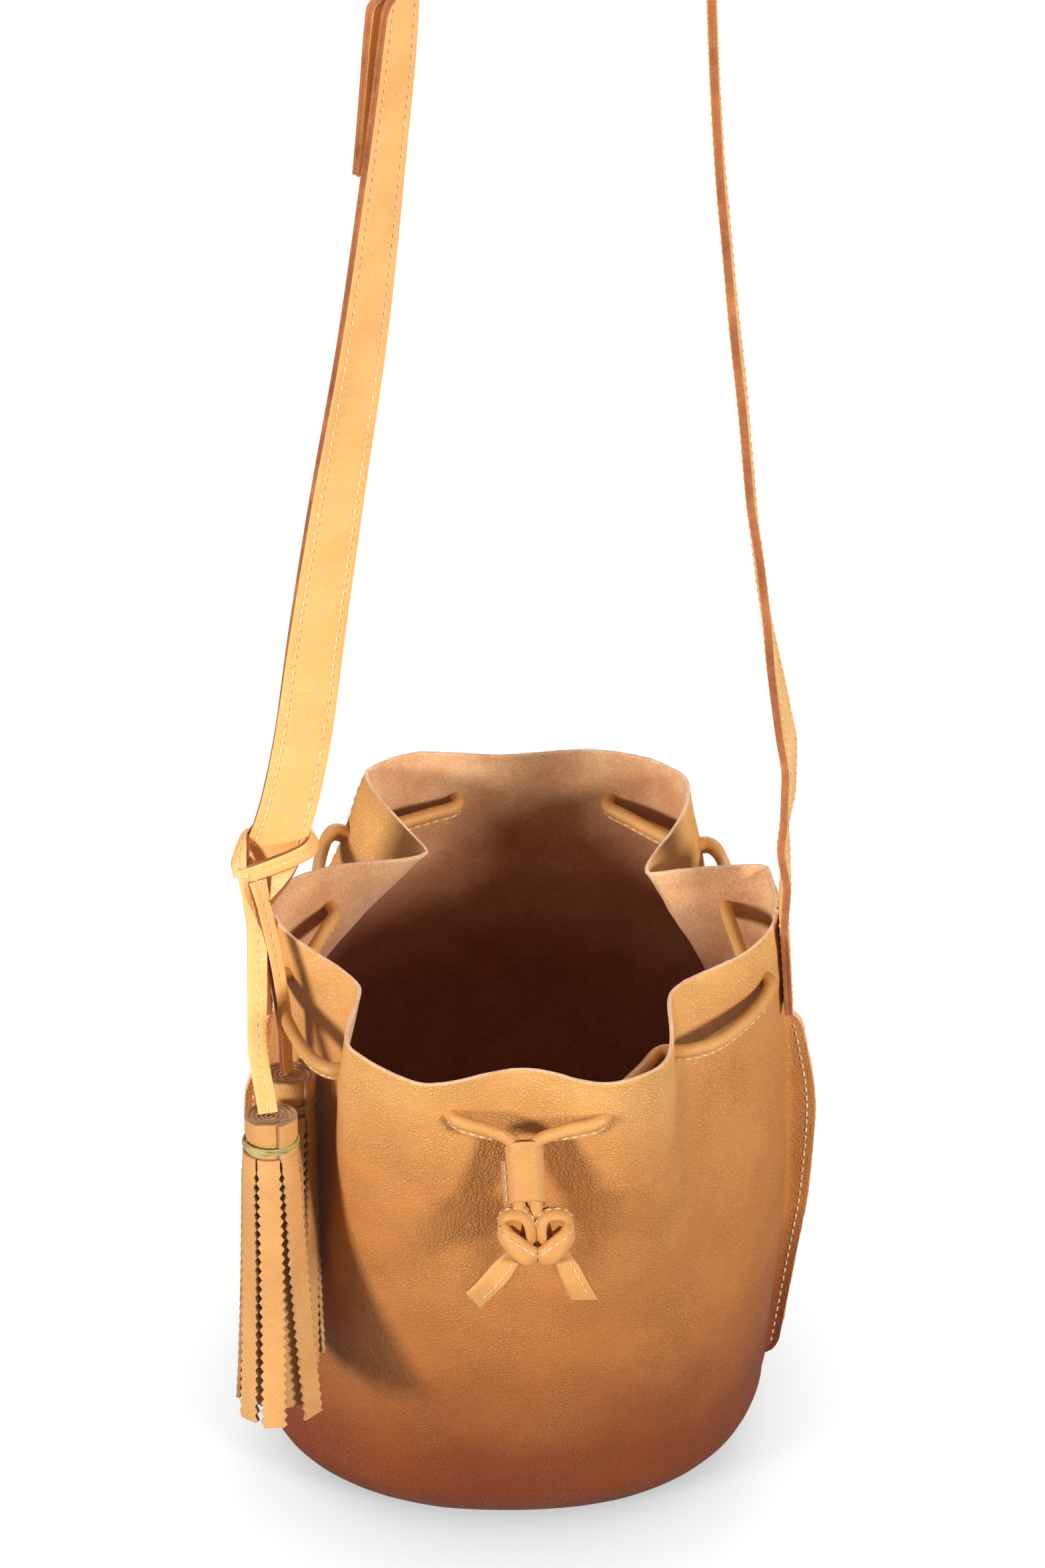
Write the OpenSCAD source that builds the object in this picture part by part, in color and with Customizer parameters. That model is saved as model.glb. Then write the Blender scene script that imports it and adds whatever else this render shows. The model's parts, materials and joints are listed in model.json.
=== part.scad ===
// Leather bucket bag with a drawcord mouth, a shoulder strap and a pair of fringed tassels.
// Millimetres. Origin: centre of the base's underside. +Z up, -Y front, +X the bag's right in front view.

/* [Body] */
// Half depth of the body near the base
base_half_d = 71.5; // [69:0.5:75]
// How far the base sits to the left of the mouth's middle
base_shift = 4.3; // [0:0.1:5]
// Half width of the body at its fullest
belly_half_w = 97.5; // [96:0.5:98]
// Half depth of the body at the drawcord
top_half_d = 89; // [88:0.5:90]
// Height of the open rim
rim_z = 255; // [253:1:257]
// Radius of the rounded bottom edge
edge_r = 29; // [20:1:31]
// Thickness of the leather in the body
hide_t = 1.4; // [1.2:0.1:1.6]
// Widest reach of the right side seam's raw edge outside the wall
seam_reach = 11; // [8:0.5:12]
// Widest reach of the left side seam's raw edge outside the wall
seam_reach_left = 4.2; // [3.5:0.1:6]

/* [Drawcord] */
// Depth of the drawcord holes below the rim
hole_drop = 18; // [16:1:20]
// Radius of the drawcord holes
hole_r = 3.7; // [3.4:0.1:4]
// Radius of the drawcord
cord_r = 2.5; // [2.2:0.1:2.6]
// Length of the leather sleeve on the drawcord
sleeve_len = 26; // [22:1:28]
// Lean of the sleeve away from upright, in degrees
sleeve_lean = 25; // [22:1:28]

/* [Strap] */
// Width of the strap
strap_w = 20; // [18:0.5:20]
// Thickness of one of the strap's two layers
ply_t = 1.5; // [1.3:0.1:1.5]
// Centre height of the strap's arch
arch_z = 750; // [748:1:780]

/* [Tassels] */
// Radius of a tassel's bound head
head_r = 10.2; // [9:0.2:10.2]
// Radius of a tassel's fringe
fringe_r = 11; // [10:0.2:11]
// Length of a tassel
tassel_len = 122; // [100:1:124]
// Width of the lace
lace_w = 7; // [6:0.5:7]
// Thickness of the lace
lace_t = 2; // [1.6:0.1:2.2]

/* [Hidden] */
$fn = 48;

gap = 0.1;                      // air between two parts that touch on the real bag
leather = "#d99a54";
leather_pale = "#e8b26e";
brass = "#c9a45a";
waxed_thread = "#7d7a45";

// ---------- vectors and curves ----------

X = [1, 0, 0];
Y = [0, 1, 0];
Z = [0, 0, 1];

function unit(v) = v / norm(v);
function mix(a, b, u) = a + (b - a) * u;
function sum_of(v, i = 0) = i < len(v) ? v[i] + sum_of(v, i + 1) : 0;

// Value at x on the straight-line curve through knots [[x, value], ...]
function curve_at(knots, x, i = 0) =
    x <= knots[0][0] ? knots[0][1]
    : i >= len(knots) - 1 ? knots[len(knots) - 1][1]
    : x <= knots[i + 1][0]
        ? mix(knots[i][1], knots[i + 1][1], (x - knots[i][0]) / (knots[i + 1][0] - knots[i][0]))
        : curve_at(knots, x, i + 1);

// The vector v turned by angle a about the unit axis k
function turned(v, k, a) = v * cos(a) + cross(k, v) * sin(a) + k * (k * v) * (1 - cos(a));

// Points of a Catmull-Rom curve through the listed points, n steps to a span
function spline(p, n) = [
    for (i = [0 : len(p) - 2]) for (j = [0 : n - 1])
        let (u = j / n, a = p[max(i - 1, 0)], b = p[i], c = p[i + 1], d = p[min(i + 2, len(p) - 1)])
            (2 * b + (c - a) * u + (2 * a - 5 * b + 4 * c - d) * u * u
                + (3 * b - a - 3 * c + d) * u * u * u) / 2,
    p[len(p) - 1]
];

// Direction of a path at its point i
function heading(p, i) = unit(p[min(i + 1, len(p) - 1)] - p[max(i - 1, 0)]);

// Closed solid through a list of rings with equal point counts. The quads of the second half of
// each ring are split along their other diagonal, so both faces of a twisted strip match.
module loft(rings) {
    n = len(rings[0]);
    m = len(rings);
    sides = [for (j = [0 : m - 2]) for (i = [0 : n - 1])
        let (a = j * n + i, b = j * n + (i + 1) % n)
            each i < n / 2 ? [[a, a + n, b], [b, a + n, b + n]] : [[a, a + n, b + n], [a, b + n, b]]];
    ends = [[for (i = [0 : n - 1]) i], [for (i = [n - 1 : -1 : 0]) (m - 1) * n + i]];
    polyhedron([for (r = rings) for (p = r) p], concat(sides, ends));
}

// Thin closed sheet between two grids of points with equal row and column counts
module sheet(outer, inner) {
    m = len(outer);
    n = len(outer[0]);
    k = m * n;
    function at(j, i) = j * n + i;
    faces = [for (j = [0 : m - 2]) for (i = [0 : n - 2])
        let (a = at(j, i), b = at(j, i + 1), c = at(j + 1, i + 1), d = at(j + 1, i))
            each [[a, d, c], [a, c, b], [k + a, k + c, k + d], [k + a, k + b, k + c]]];
    low = [for (i = [0 : n - 2]) let (a = at(0, i), b = a + 1) each [[a, b, k + b], [a, k + b, k + a]]];
    top = [for (i = [0 : n - 2])
        let (a = at(m - 1, i), b = a + 1) each [[a, k + b, b], [a, k + a, k + b]]];
    left = [for (j = [0 : m - 2])
        let (a = at(j, 0), d = a + n) each [[a, k + d, d], [a, k + a, k + d]]];
    right = [for (j = [0 : m - 2])
        let (b = at(j, n - 1), c = b + n) each [[b, c, k + c], [b, k + c, k + b]]];
    points = concat([for (r = outer) for (p = r) p], [for (r = inner) for (p = r) p]);
    polyhedron(points, concat(faces, low, top, left, right));
}

// Strip of rectangular section along a path. side(i) gives its width direction at point i;
// low and high are its faces' distances from the path along the strip's normal.
module strip(path, sides, width, low, high) {
    loft([for (i = [0 : len(path) - 1])
        let (t = heading(path, i), w = unit(sides[i] - t * (sides[i] * t)), n = cross(w, t))
            [for (c = [[-1, low], [-1, high], [1, high], [1, low]])
                path[i] + w * c[0] * width / 2 + n * c[1]]]);
}

// Round cord along a path that is nowhere upright
module cord(path, r) {
    corners = 8;
    loft([for (i = [0 : len(path) - 1])
        let (t = heading(path, i), side = unit(cross(t, Z)), up = cross(side, t))
            [for (k = [0 : corners - 1])
                path[i] + r * (side * cos(360 * k / corners) + up * sin(360 * k / corners))]]);
}

// Places children with their +Z along the vector v and their origin at p
module along(p, v) {
    translate(p) rotate([0, acos(unit(v)[2]), atan2(v[1], v[0])]) children();
}

// Straight round bar from p to q
module rod(p, q, r) {
    along(p, q - p) cylinder(r = r, h = norm(q - p));
}

// ---------- shape of the body ----------

belly_z = 125;                  // height at which the body is fullest
lobe_rise = 7;                  // outward swell of the leather between the front and back folds
swell_low_z = 90;               // height at which that swell has faded out
wall_low_z = 1.3;               // height of the panels' lower edge
step_a = 3;                     // angle between two columns of a panel's surface

// Folds of the gathered mouth: [angle at the rim, depth, spread before, spread after, height where it
// has faded out, turn round the bag with each millimetre down from the rim]
FOLDS = [
    [24.5, 42, 9.5, 28, 130, -0.12], [92, 10.5, 36, 30, 110, 0], [136.5, 47, 10.5, 43, 165, 0.35],
    [212, 24, 40, 19, 90, 0], [270, 14, 24, 24, 100, 0], [324, 26, 25, 38, 100, 0]
];

function half_w(z) = belly_half_w - 5 * pow((z - belly_z) / (rim_z - belly_z), 2);
function half_d(z) = mix(base_half_d, top_half_d, sin(90 * min(1, (z - edge_r) / 190)));

// Share of a fold left at a height: none below low_z, all of it at the rim
function gather(z, low_z) = pow(max(0, (z - low_z) / (rim_z - low_z)), 1.25);

function angle_from(a, b) = (a - b + 540) % 360 - 180;

function fold_depth(a, z) = sum_of([for (f = FOLDS)
    let (d = angle_from(a, f[0] + f[5] * (rim_z - z)), u = d < 0 ? -d / f[2] : d / f[3])
        u < 1 ? f[1] * gather(z, f[4]) * (1 + cos(180 * u)) / 2 : 0]);

// Inward step of the rounded bottom edge at a height
function edge_step(z) = z >= edge_r ? 0 : edge_r - sqrt(edge_r * edge_r - pow(edge_r - z, 2));

// Distance of the wall from the body's middle line. Low down its plan is a slightly squared oval.
function wall_radius(a, z) =
    let (w = half_w(max(z, edge_r)) - edge_step(z), d = half_d(max(z, edge_r)) - edge_step(z),
         squared = 2 + 0.22 * max(0, 1 - z / 150))
        pow(pow(abs(cos(a)) / w, squared) + pow(abs(sin(a)) / d, squared), -1 / squared)
            + lobe_rise * gather(z, swell_low_z) * pow(sin(a), 2) - fold_depth(a, z);

// The middle line bends to the left towards the base
function wall_point(a, z) = let (r = wall_radius(a, z))
    [r * cos(a) - base_shift * max(0, 1 - z / 110), r * sin(a), z];

// Outward unit normal of the wall
function wall_normal(a, z) =
    unit(cross(wall_point(a + 0.5, z) - wall_point(a - 0.5, z),
               wall_point(a, z + 0.4) - wall_point(a, z - 0.4)));

seam_low_z = edge_r;            // lower end of the raw side seams
seam_top_z = 207;               // their upper end, under the strap's sewn ends

function steps(a, b, n) = [for (i = [0 : n]) mix(a, b, i / n)];

ROWS = concat(
    [wall_low_z],
    [for (a = [30 : 15 : 75]) edge_r * (1 - cos(a))],
    [edge_r],
    steps(seam_low_z + 8, seam_low_z + 14, 1),
    steps(60, 190, 8),
    steps(seam_top_z - 8, seam_top_z, 3),
    steps(seam_top_z + 8, rim_z, 4)
);

// ---------- side seams ----------

SEAM_RIGHT = [[seam_low_z, 5], [72, 6.5], [122, 9.5], [158, seam_reach], [seam_top_z, 6]];
SEAM_LEFT = [[seam_low_z, 3], [122, 3.8], [158, seam_reach_left], [seam_top_z, 3.4]];

// Reach of the raw edge of the seam at angle a outside the wall, rounded off at both ends
function round_off(u) = sqrt(1 - pow(1 - min(1, max(0, u)), 2));
function seam_at(a, z) = max(0.3, curve_at(cos(a) > 0 ? SEAM_RIGHT : SEAM_LEFT, z)
    * round_off((z - seam_low_z) / 9) * round_off((seam_top_z - z) / 9));

// Half of the body's wall with its share of the side seams. side -1 is the front, 1 the back.
module panel(side) {
    n = 180 / step_a;
    start = side < 0 ? 180 : 0;
    function edge(a, z) = wall_point(a, z) + [sign(cos(a)) * seam_at(a, z), 0, 0];
    outer = [for (z = ROWS) concat(
        [edge(start, z) + Y * side * (gap + hide_t)],
        [wall_point(start, z) + Y * side * (gap + hide_t)],
        [for (i = [1 : n - 1]) wall_point(start + i * step_a, z)],
        [wall_point(start + 180, z) + Y * side * (gap + hide_t)],
        [edge(start + 180, z) + Y * side * (gap + hide_t)])];
    function inner_point(a, z) = wall_point(a, z) - wall_normal(a, z) * hide_t;
    inner = [for (z = ROWS) concat(
        [edge(start, z) + Y * side * gap],
        [inner_point(start, z) + Y * side * gap],
        [for (i = [1 : n - 1]) inner_point(start + i * step_a, z)],
        [inner_point(start + 180, z) + Y * side * gap],
        [edge(start + 180, z) + Y * side * gap])];
    color(leather) difference() {
        sheet(outer, inner);
        for (a = HOLES)
            if (side * sin(a) > 0)
                along(wall_point(a, hole_z(a)) - wall_normal(a, hole_z(a)) * 6, wall_normal(a, hole_z(a)))
                    cylinder(r = hole_r, h = 12);
    }
}

module front_panel() { panel(-1); }
module back_panel() { panel(1); }

// Oval floor with its turned-up seam edge
module base_panel() {
    floor_t = 1.8;
    edge_h = 5;
    inset = 1.2;
    // The wall's outline at its lower edge, drawn in by i
    function oval(i) = [for (a = [0 : 5 : 355]) let (p = wall_point(a, wall_low_z))
        [p[0] - i * cos(a), p[1] - i * sin(a)]];
    color(leather) {
        linear_extrude(floor_t) polygon(oval(inset));
        translate([0, 0, floor_t / 2]) linear_extrude(edge_h) difference() {
            polygon(oval(inset + 1));
            polygon(oval(inset + 1 + hide_t));
        }
    }
}

// ---------- drawcord ----------

// Height of the hole at angle a: those at the back sit lower
function hole_z(a) = rim_z - hole_drop - 5.5 * pow(max(0, sin(a)), 2);

// Angles of the drawcord holes, from the front left one round the back to the front right one
HOLES = [255.5, 225, 190.5, 162, 135.5, 105, 69, 41, 17.3, 349, 315.5, 288];

cord_off = cord_r + 1.7;        // distance of the cord's centre from a face of the leather
function cord_outside(a) = wall_point(a, hole_z(a)) + wall_normal(a, hole_z(a)) * cord_off;
function cord_inside(a) = wall_point(a, hole_z(a)) - wall_normal(a, hole_z(a)) * (hide_t + cord_off);

// The cord's run through all the holes, in and out by turns
module drawcord() {
    last = len(HOLES) - 1;
    knots = [for (i = [0 : last])
        let (even = i % 2 == 0, a = HOLES[i], b = HOLES[min(i + 1, last)],
             from = even ? cord_outside(a) : cord_inside(a),
             to = even ? cord_inside(a) : cord_outside(a),
             next = even ? cord_inside(b) : cord_outside(b))
            each i < last ? [from, to, mix(to, next, 0.3), mix(to, next, 0.7)] : [from, to]];
    color(leather_pale) cord(spline(knots, 3), cord_r);
}

sleeve_down = unit([0.06, -sin(sleeve_lean), -cos(sleeve_lean)]);
sleeve_top_z = rim_z - hole_drop - 8;
sleeve_top = [1.5, -wall_radius(270, sleeve_top_z) - 8.7, sleeve_top_z];
sleeve_end = sleeve_top + sleeve_down * sleeve_len;
pair_off = cord_r + 0.1;        // half the distance between the two cords in the sleeve

// The two short runs from the front holes to the sleeve
module cord_legs() {
    color(leather_pale)
        for (leg = [[HOLES[0], -1], [HOLES[11], 1]])
            rod(cord_outside(leg[0]) - X * leg[1] * (cord_r + 0.6),
                sleeve_top + X * leg[1] * pair_off - sleeve_down * 3.5, cord_r - 0.3);
}

knot_r = 6.2;
tail_w = 7.5;
tail_t = 2.6;

// One end of the drawcord: its run through the sleeve, its knot and its flat tail
module cord_end(s, tip) {
    knot = sleeve_end + sleeve_down * (knot_r + 0.9) + X * (s * (knot_r + 0.2) + 2);
    run_top = sleeve_top + X * s * pair_off + sleeve_down * 0.3;
    run_end = sleeve_end + X * s * pair_off;
    tail = [knot, mix(knot, tip, 0.5) + [0, -1, 0], tip];
    color(leather_pale) {
        rod(run_top, run_end, cord_r - 0.1);
        rod(run_end + sleeve_down * 0.4, knot, cord_r - 0.3);
        translate(knot) sphere(r = knot_r, $fn = 32);
        strip(tail, [X + Z * s * 0.4, X + Z * s * 0.4, X + Z * s * 0.4], tail_w, -tail_t / 2, tail_t / 2);
    }
}

module cord_end_left() { cord_end(-1, [-16.5, -110, 167]); }
module cord_end_right() { cord_end(1, [22.5, -110, 167]); }

// Sewn leather sleeve that slides along both cords
module cord_sleeve() {
    bore = cord_r + 0.25;
    wall = 1.4;
    module slot(r) {
        square([2 * pair_off, 2 * r], center = true);
        for (s = [-1, 1]) translate([s * pair_off, 0]) circle(r = r);
    }
    color(leather_pale) along(sleeve_top, sleeve_down) rotate([0, 0, 90]) linear_extrude(sleeve_len)
        difference() {
            union() {
                slot(bore + wall);
                translate([-pair_off - bore - 2.6, -1.2]) square([3.2, 2.4]);
            }
            slot(bore);
        }
}

// ---------- strap ----------

bend_z = 310;                   // height at which the strap bends above its sewn feet
strap_t = 2 * ply_t + gap;
wall_air = 0.5;                 // air between a sewn strap end and the bulge of the wall
foot_low_z = 213;
buckle_x = -38;
heel_z = 698;                   // height of the buckle's lower bar
heel_r = 1.7;
frame_h = 21;                   // distance between the buckle's bars
strap_right_x = 60;             // the strap's right run under the arch
strap_left_x = buckle_x + 3.7;  // the strap's left run under the arch, behind the buckle's upper bar

// Distance of a sewn strap end from the middle of the bag, on the side at angle a
function foot_x(a, z) =
    max([for (d = [-6 : 3 : 6]) abs(wall_point(a + d, z)[0])]) + wall_air + strap_t / 2;

// The left run's distance from the middle of the bag, and its turn about its own length
LEFT_X = [[rim_z, -foot_x(180, rim_z)], [264, 0.3 - foot_x(180, rim_z)], [286, -87], [308, -81.5], [340, -76],
    [386, -70.5], [447, -62.6], [520, -52.5], [590, -44.9], [640, -40], [672, buckle_x], [690, buckle_x]];
LEFT_TURN = [[261, 0], [298, 90], [340, 95], [400, 107], [540, 131], [590, 139], [658, 149], [672, 180]];

function left_path(z) = [z < rim_z ? -foot_x(180, z) : curve_at(LEFT_X, z), 0, z];
function left_side(z) = turned(Y, Z, curve_at(LEFT_TURN, z));
// Places of the two layers across the strap's thickness. which 1 is the outer layer, -1 the lining.
function ply_low(which) = which > 0 ? gap / 2 : -ply_t - gap / 2;
function ply_high(which) = ply_low(which) + ply_t;

// Left strap end: sewn to the wall, then turning to face forward
module strap_foot_left(which) {
    top = bend_z - 3;
    zs = concat(steps(foot_low_z, rim_z, 3), steps(rim_z + 5, top, 14));
    color(leather) strip([for (z = zs) left_path(z)], [for (z = zs) left_side(z)], strap_w,
                         -ply_high(which), -ply_low(which));
}

RIGHT_X = [[rim_z, foot_x(0, rim_z)], [275, foot_x(0, rim_z) + 0.6], [292, 93.6], [308, 95], [326, 95],
    [346, 92.3], [384, 86.6], [420, 82.3], [456, 78.4], [491, 75.4], [525, 71.9], [560, 68.8],
    [593, 65.9], [642, 63], [720, strap_right_x]];
function right_path(z) = [z < rim_z ? foot_x(0, z) : curve_at(RIGHT_X, z), 0, z];

// Right strap end: sewn to the wall, straight up to the bend
module strap_foot_right(which) {
    zs = concat(steps(foot_low_z, rim_z, 3), steps(rim_z + 5, bend_z - strap_w / 2 - 0.8, 4));
    color(leather) strip([for (z = zs) right_path(z)], [for (z = zs) Y], strap_w,
                         ply_low(which), ply_high(which));
}

// Short strap: from the left bend up to the buckle, where its end wraps the lower bar
module short_strap(which) {
    low = bend_z + 0.3;
    zs = concat(steps(low, 660, 26), steps(664, 680, 4), [heel_z - 5.2]);
    color(leather_pale)
        strip([for (z = zs) left_path(z)], [for (z = zs) left_side(z)], strap_w,
              -ply_high(which), -ply_low(which));
}

// The outer layer also wraps the buckle's lower bar, with a slot for the prong
module short_strap_outer() {
    fold_t = 1.6;
    fold_r = heel_r + 0.2;
    short_strap(1);
    color(leather_pale) difference() {
        union() {
            translate([buckle_x, strap_w / 2, heel_z]) rotate([90, 0, 0])
                cylinder(r = fold_r + fold_t, h = strap_w);
            translate([buckle_x + gap / 2, -strap_w / 2, heel_z - 5.3]) cube([ply_t, strap_w, 5]);
        }
        translate([buckle_x, strap_w, heel_z]) rotate([90, 0, 0]) cylinder(r = fold_r, h = 2 * strap_w);
        translate([buckle_x - 8, -2.2, heel_z - 4]) cube([16, 4.4, 10]);
    }
}

module short_strap_lining() { short_strap(-1); }

// The long strap's path: up the right side, over the arch, down through the buckle and out as a tail
arch_r = (strap_right_x - strap_left_x) / 2;
arch_x = (strap_right_x + strap_left_x) / 2;
tail_z = 590;
TAIL_AIR = [[tail_z, 0.5], [658, 2.6], [676, 0.7], [heel_z, 0.7]];

function tail_turn(z) = 180 - curve_at(LEFT_TURN, z);
function tail_out(z) = turned(-X, Z, -tail_turn(z));
function tail_path(z) = left_path(z) + tail_out(z) * (strap_t + curve_at(TAIL_AIR, z));

BUCKLE_RUN = [
    [strap_left_x, 0, heel_z + frame_h + 6], [strap_left_x, 0, heel_z + frame_h - 2],
    [buckle_x - 1.6, 0, heel_z + 9.5], [buckle_x - 5.6, 0, heel_z + 1.5],
    [buckle_x - 5.6, 0, heel_z - 4], [buckle_x - 3.9, 0, heel_z - 11]
];

RIGHT_ZS = concat([bend_z, 320], steps(332, 720, 24));
ARCH = [for (a = [0 : 10 : 180]) [arch_x + arch_r * cos(a), 0, arch_z + arch_r * sin(a)]];
TAIL_ZS = steps(heel_z - 16, tail_z, 14);
OVER = concat(ARCH, spline(BUCKLE_RUN, 5));
LONG_PATH = concat([for (z = RIGHT_ZS) right_path(z)], OVER, [for (z = TAIL_ZS) tail_path(z)]);
LONG_SIDES = concat([for (z = RIGHT_ZS) Y], [for (p = OVER) Y],
                    [for (z = TAIL_ZS) turned(Y, Z, -tail_turn(z))]);

module long_strap(which) {
    foot = right_path(bend_z);
    low = ply_low(which);
    color(leather_pale) difference() {
        union() {
            strip(LONG_PATH, LONG_SIDES, strap_w, low, low + ply_t);
            translate(foot + [low, 0, 0]) rotate([0, 90, 0]) cylinder(r = strap_w / 2, h = ply_t);
        }
        translate([buckle_x - 12, -2.3, heel_z]) cube([16, 4.6, 15]);
    }
}

module long_strap_outer() { long_strap(1); }
module long_strap_lining() { long_strap(-1); }

module strap_foot_left_outer() { strap_foot_left(1); }
module strap_foot_left_lining() { strap_foot_left(-1); }
module strap_foot_right_outer() { strap_foot_right(1); }
module strap_foot_right_lining() { strap_foot_right(-1); }

// ---------- buckle ----------

bar_half = strap_w / 2 + 2.6;   // half the distance between the buckle's side bars' centres

// Rectangular buckle bent from round bar
module buckle_frame() {
    low = [buckle_x, 0, heel_z];
    color(brass) {
        for (z = [0, frame_h]) rod(low + Z * z - Y * bar_half, low + Z * z + Y * bar_half, heel_r);
        for (s = [-1, 1]) {
            rod(low + Y * s * bar_half, low + Y * s * bar_half + Z * frame_h, heel_r);
            for (z = [0, frame_h]) translate(low + Y * s * bar_half + Z * z) sphere(r = heel_r);
        }
    }
}

// Prong that turns on the lower bar and rests on the upper one
module buckle_prong() {
    eye_r = heel_r + 0.08;
    eye_t = 1.1;
    prong_r = 1.1;
    color(brass) difference() {
        union() {
            translate([buckle_x, 1.6, heel_z]) rotate([90, 0, 0]) cylinder(r = eye_r + eye_t, h = 3.2);
            rod([buckle_x - eye_r - 0.5, 0, heel_z],
                [buckle_x - heel_r - prong_r - 0.3, 0, heel_z + frame_h + 2.4], prong_r);
        }
        translate([buckle_x, 4, heel_z]) rotate([90, 0, 0]) cylinder(r = eye_r, h = 8);
    }
}

// Leather loop round both straps under the buckle
module strap_keeper() {
    room = 0.5;
    wall = 1.4;
    keeper_h = 8;
    x_in = buckle_x + strap_t / 2 + room;
    x_out = buckle_x - 1.5 * strap_t - 0.7 - room - 0.4;
    y_in = strap_w / 2 + room;
    color(leather_pale) translate([0, 0, heel_z - 22]) difference() {
        translate([x_out - wall, -y_in - wall, 0])
            cube([x_in - x_out + 2 * wall, 2 * (y_in + wall), keeper_h]);
        translate([x_out, -y_in, -1]) cube([x_in - x_out, 2 * y_in, keeper_h + 2]);
    }
}

// ---------- lace and tassels ----------

hitch_z = 283;
hitch_tilt = 22;
hitch_in = 14.2;                // the hitch's inner radius, round the turning strap

// Lace hitched round the left strap end
module lace_hitch() {
    color(leather_pale) translate([curve_at(LEFT_X, hitch_z) + 0.8, 0, hitch_z]) rotate([0, -hitch_tilt, 0])
        rotate_extrude() translate([hitch_in, 0.5 - lace_w / 2]) square([lace_t, lace_w - 1]);
}

front_top = [-89, -62, 214];
rear_top = [-82.8, -39, 212];
front_lean = [unit([3, -34, 0]), 16];       // heading and angle of the front tassel's lean
rear_lean = [unit([-4.5, -32.5, 0]), 15.8];
lace_air = 1.6;                 // length of bare hinge between a lace's end and its tassel

// Each leg hangs from the hitch over the bag's shoulder
module lace_leg(points, side) {
    path = spline(points, 6);
    color(leather_pale) strip(path, [for (p = path) side], lace_w, -lace_t / 2, lace_t / 2);
}

module lace_leg_front() {
    lace_leg([[-94, -16.5, 269], [-96, -31, 250], [-95, -47, 232.5], front_top + [-0.5, 2.2, lace_air + 1]],
             X + Y * 0.2);
}

module lace_leg_rear() {
    lace_leg([[-104, -7.5, 267.5], [-103, -14, 249], [-95, -27, 229], rear_top + [-1.8, 1.4, lace_air + 1.6]],
             X * -0.35 + Y);
}

neck_z = 10.3;                  // depth of the bound neck below the top of a tassel

// Rolled head over a slit fringe, hanging from its own origin
module tassel_shape() {
    neck_r = head_r - 0.8;
    slits = 10;
    difference() {
        rotate_extrude() polygon([
            [0, 0], [head_r - 0.6, 0], [head_r, -0.6], [head_r, 1.4 - neck_z], [neck_r, 1 - neck_z],
            [neck_r, -1 - neck_z], [head_r, -1.6 - neck_z], [fringe_r, -20],
            [fringe_r, -tassel_len], [0, -tassel_len]]);
        for (i = [0 : slits - 1]) rotate([0, 0, 360 * i / slits])
            translate([fringe_r - 4, -0.4, -tassel_len - 1]) cube([6, 0.8, tassel_len - 16]);
    }
}

module hung(top, lean) {
    translate(top) rotate(a = lean[1], v = cross(lean[0], Z)) children();
}

module binding_shape() {
    translate([0, 0, -neck_z]) rotate_extrude() translate([head_r - 0.7, -0.9]) square([1.3, 1.8]);
}

module tassel_front() { color(leather_pale) hung(front_top, front_lean) tassel_shape(); }
module tassel_rear() { color(leather) hung(rear_top, rear_lean) tassel_shape(); }
module tassel_front_binding() { color(waxed_thread) hung(front_top, front_lean) binding_shape(); }
module tassel_rear_binding() { color(waxed_thread) hung(rear_top, rear_lean) binding_shape(); }

front_panel();
back_panel();
base_panel();
drawcord();
cord_legs();
cord_end_left();
cord_end_right();
cord_sleeve();
strap_foot_left_outer();
strap_foot_left_lining();
strap_foot_right_outer();
strap_foot_right_lining();
short_strap_outer();
short_strap_lining();
long_strap_outer();
long_strap_lining();
buckle_frame();
buckle_prong();
strap_keeper();
lace_hitch();
lace_leg_front();
lace_leg_rear();
tassel_front();
tassel_front_binding();
tassel_rear();
tassel_rear_binding();
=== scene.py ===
"""Looks of a leather bucket bag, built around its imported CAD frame.

Shapes are worked out in millimetres in the row frame and turned into metres when a mesh is made.
"""

import bisect
import json
import math
import random

import bpy
import numpy as np
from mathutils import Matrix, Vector, noise


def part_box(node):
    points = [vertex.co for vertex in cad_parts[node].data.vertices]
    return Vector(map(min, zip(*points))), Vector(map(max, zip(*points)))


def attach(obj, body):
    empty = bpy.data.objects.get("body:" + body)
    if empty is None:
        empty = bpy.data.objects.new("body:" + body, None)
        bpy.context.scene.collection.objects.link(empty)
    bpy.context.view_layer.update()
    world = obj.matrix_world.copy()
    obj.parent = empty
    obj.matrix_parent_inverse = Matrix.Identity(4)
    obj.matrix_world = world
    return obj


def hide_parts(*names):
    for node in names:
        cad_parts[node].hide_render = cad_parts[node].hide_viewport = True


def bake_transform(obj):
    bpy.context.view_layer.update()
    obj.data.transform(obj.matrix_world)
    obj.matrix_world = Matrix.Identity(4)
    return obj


MM = 0.001
UP = np.array([0.0, 0.0, 1.0])
ACROSS = np.array([1.0, 0.0, 0.0])
BACK = np.array([0.0, 1.0, 0.0])

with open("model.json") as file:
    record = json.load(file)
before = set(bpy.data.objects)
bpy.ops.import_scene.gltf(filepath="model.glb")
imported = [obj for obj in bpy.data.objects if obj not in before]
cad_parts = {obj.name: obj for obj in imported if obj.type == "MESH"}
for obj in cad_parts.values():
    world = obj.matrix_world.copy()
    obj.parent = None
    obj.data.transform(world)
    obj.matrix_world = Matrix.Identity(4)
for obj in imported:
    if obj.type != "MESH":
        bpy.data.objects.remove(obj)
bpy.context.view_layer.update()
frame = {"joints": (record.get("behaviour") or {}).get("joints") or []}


def node_box(name):
    """Lowest and highest corner of a CAD node, in millimetres."""
    low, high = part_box(name)
    return np.array(low) / MM, np.array(high) / MM


def joint_point(name):
    """Place of a hinge, in millimetres."""
    joint = next(j for j in frame["joints"] if j["name"] == name)
    return np.array(joint["pos_m"]) / MM


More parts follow.
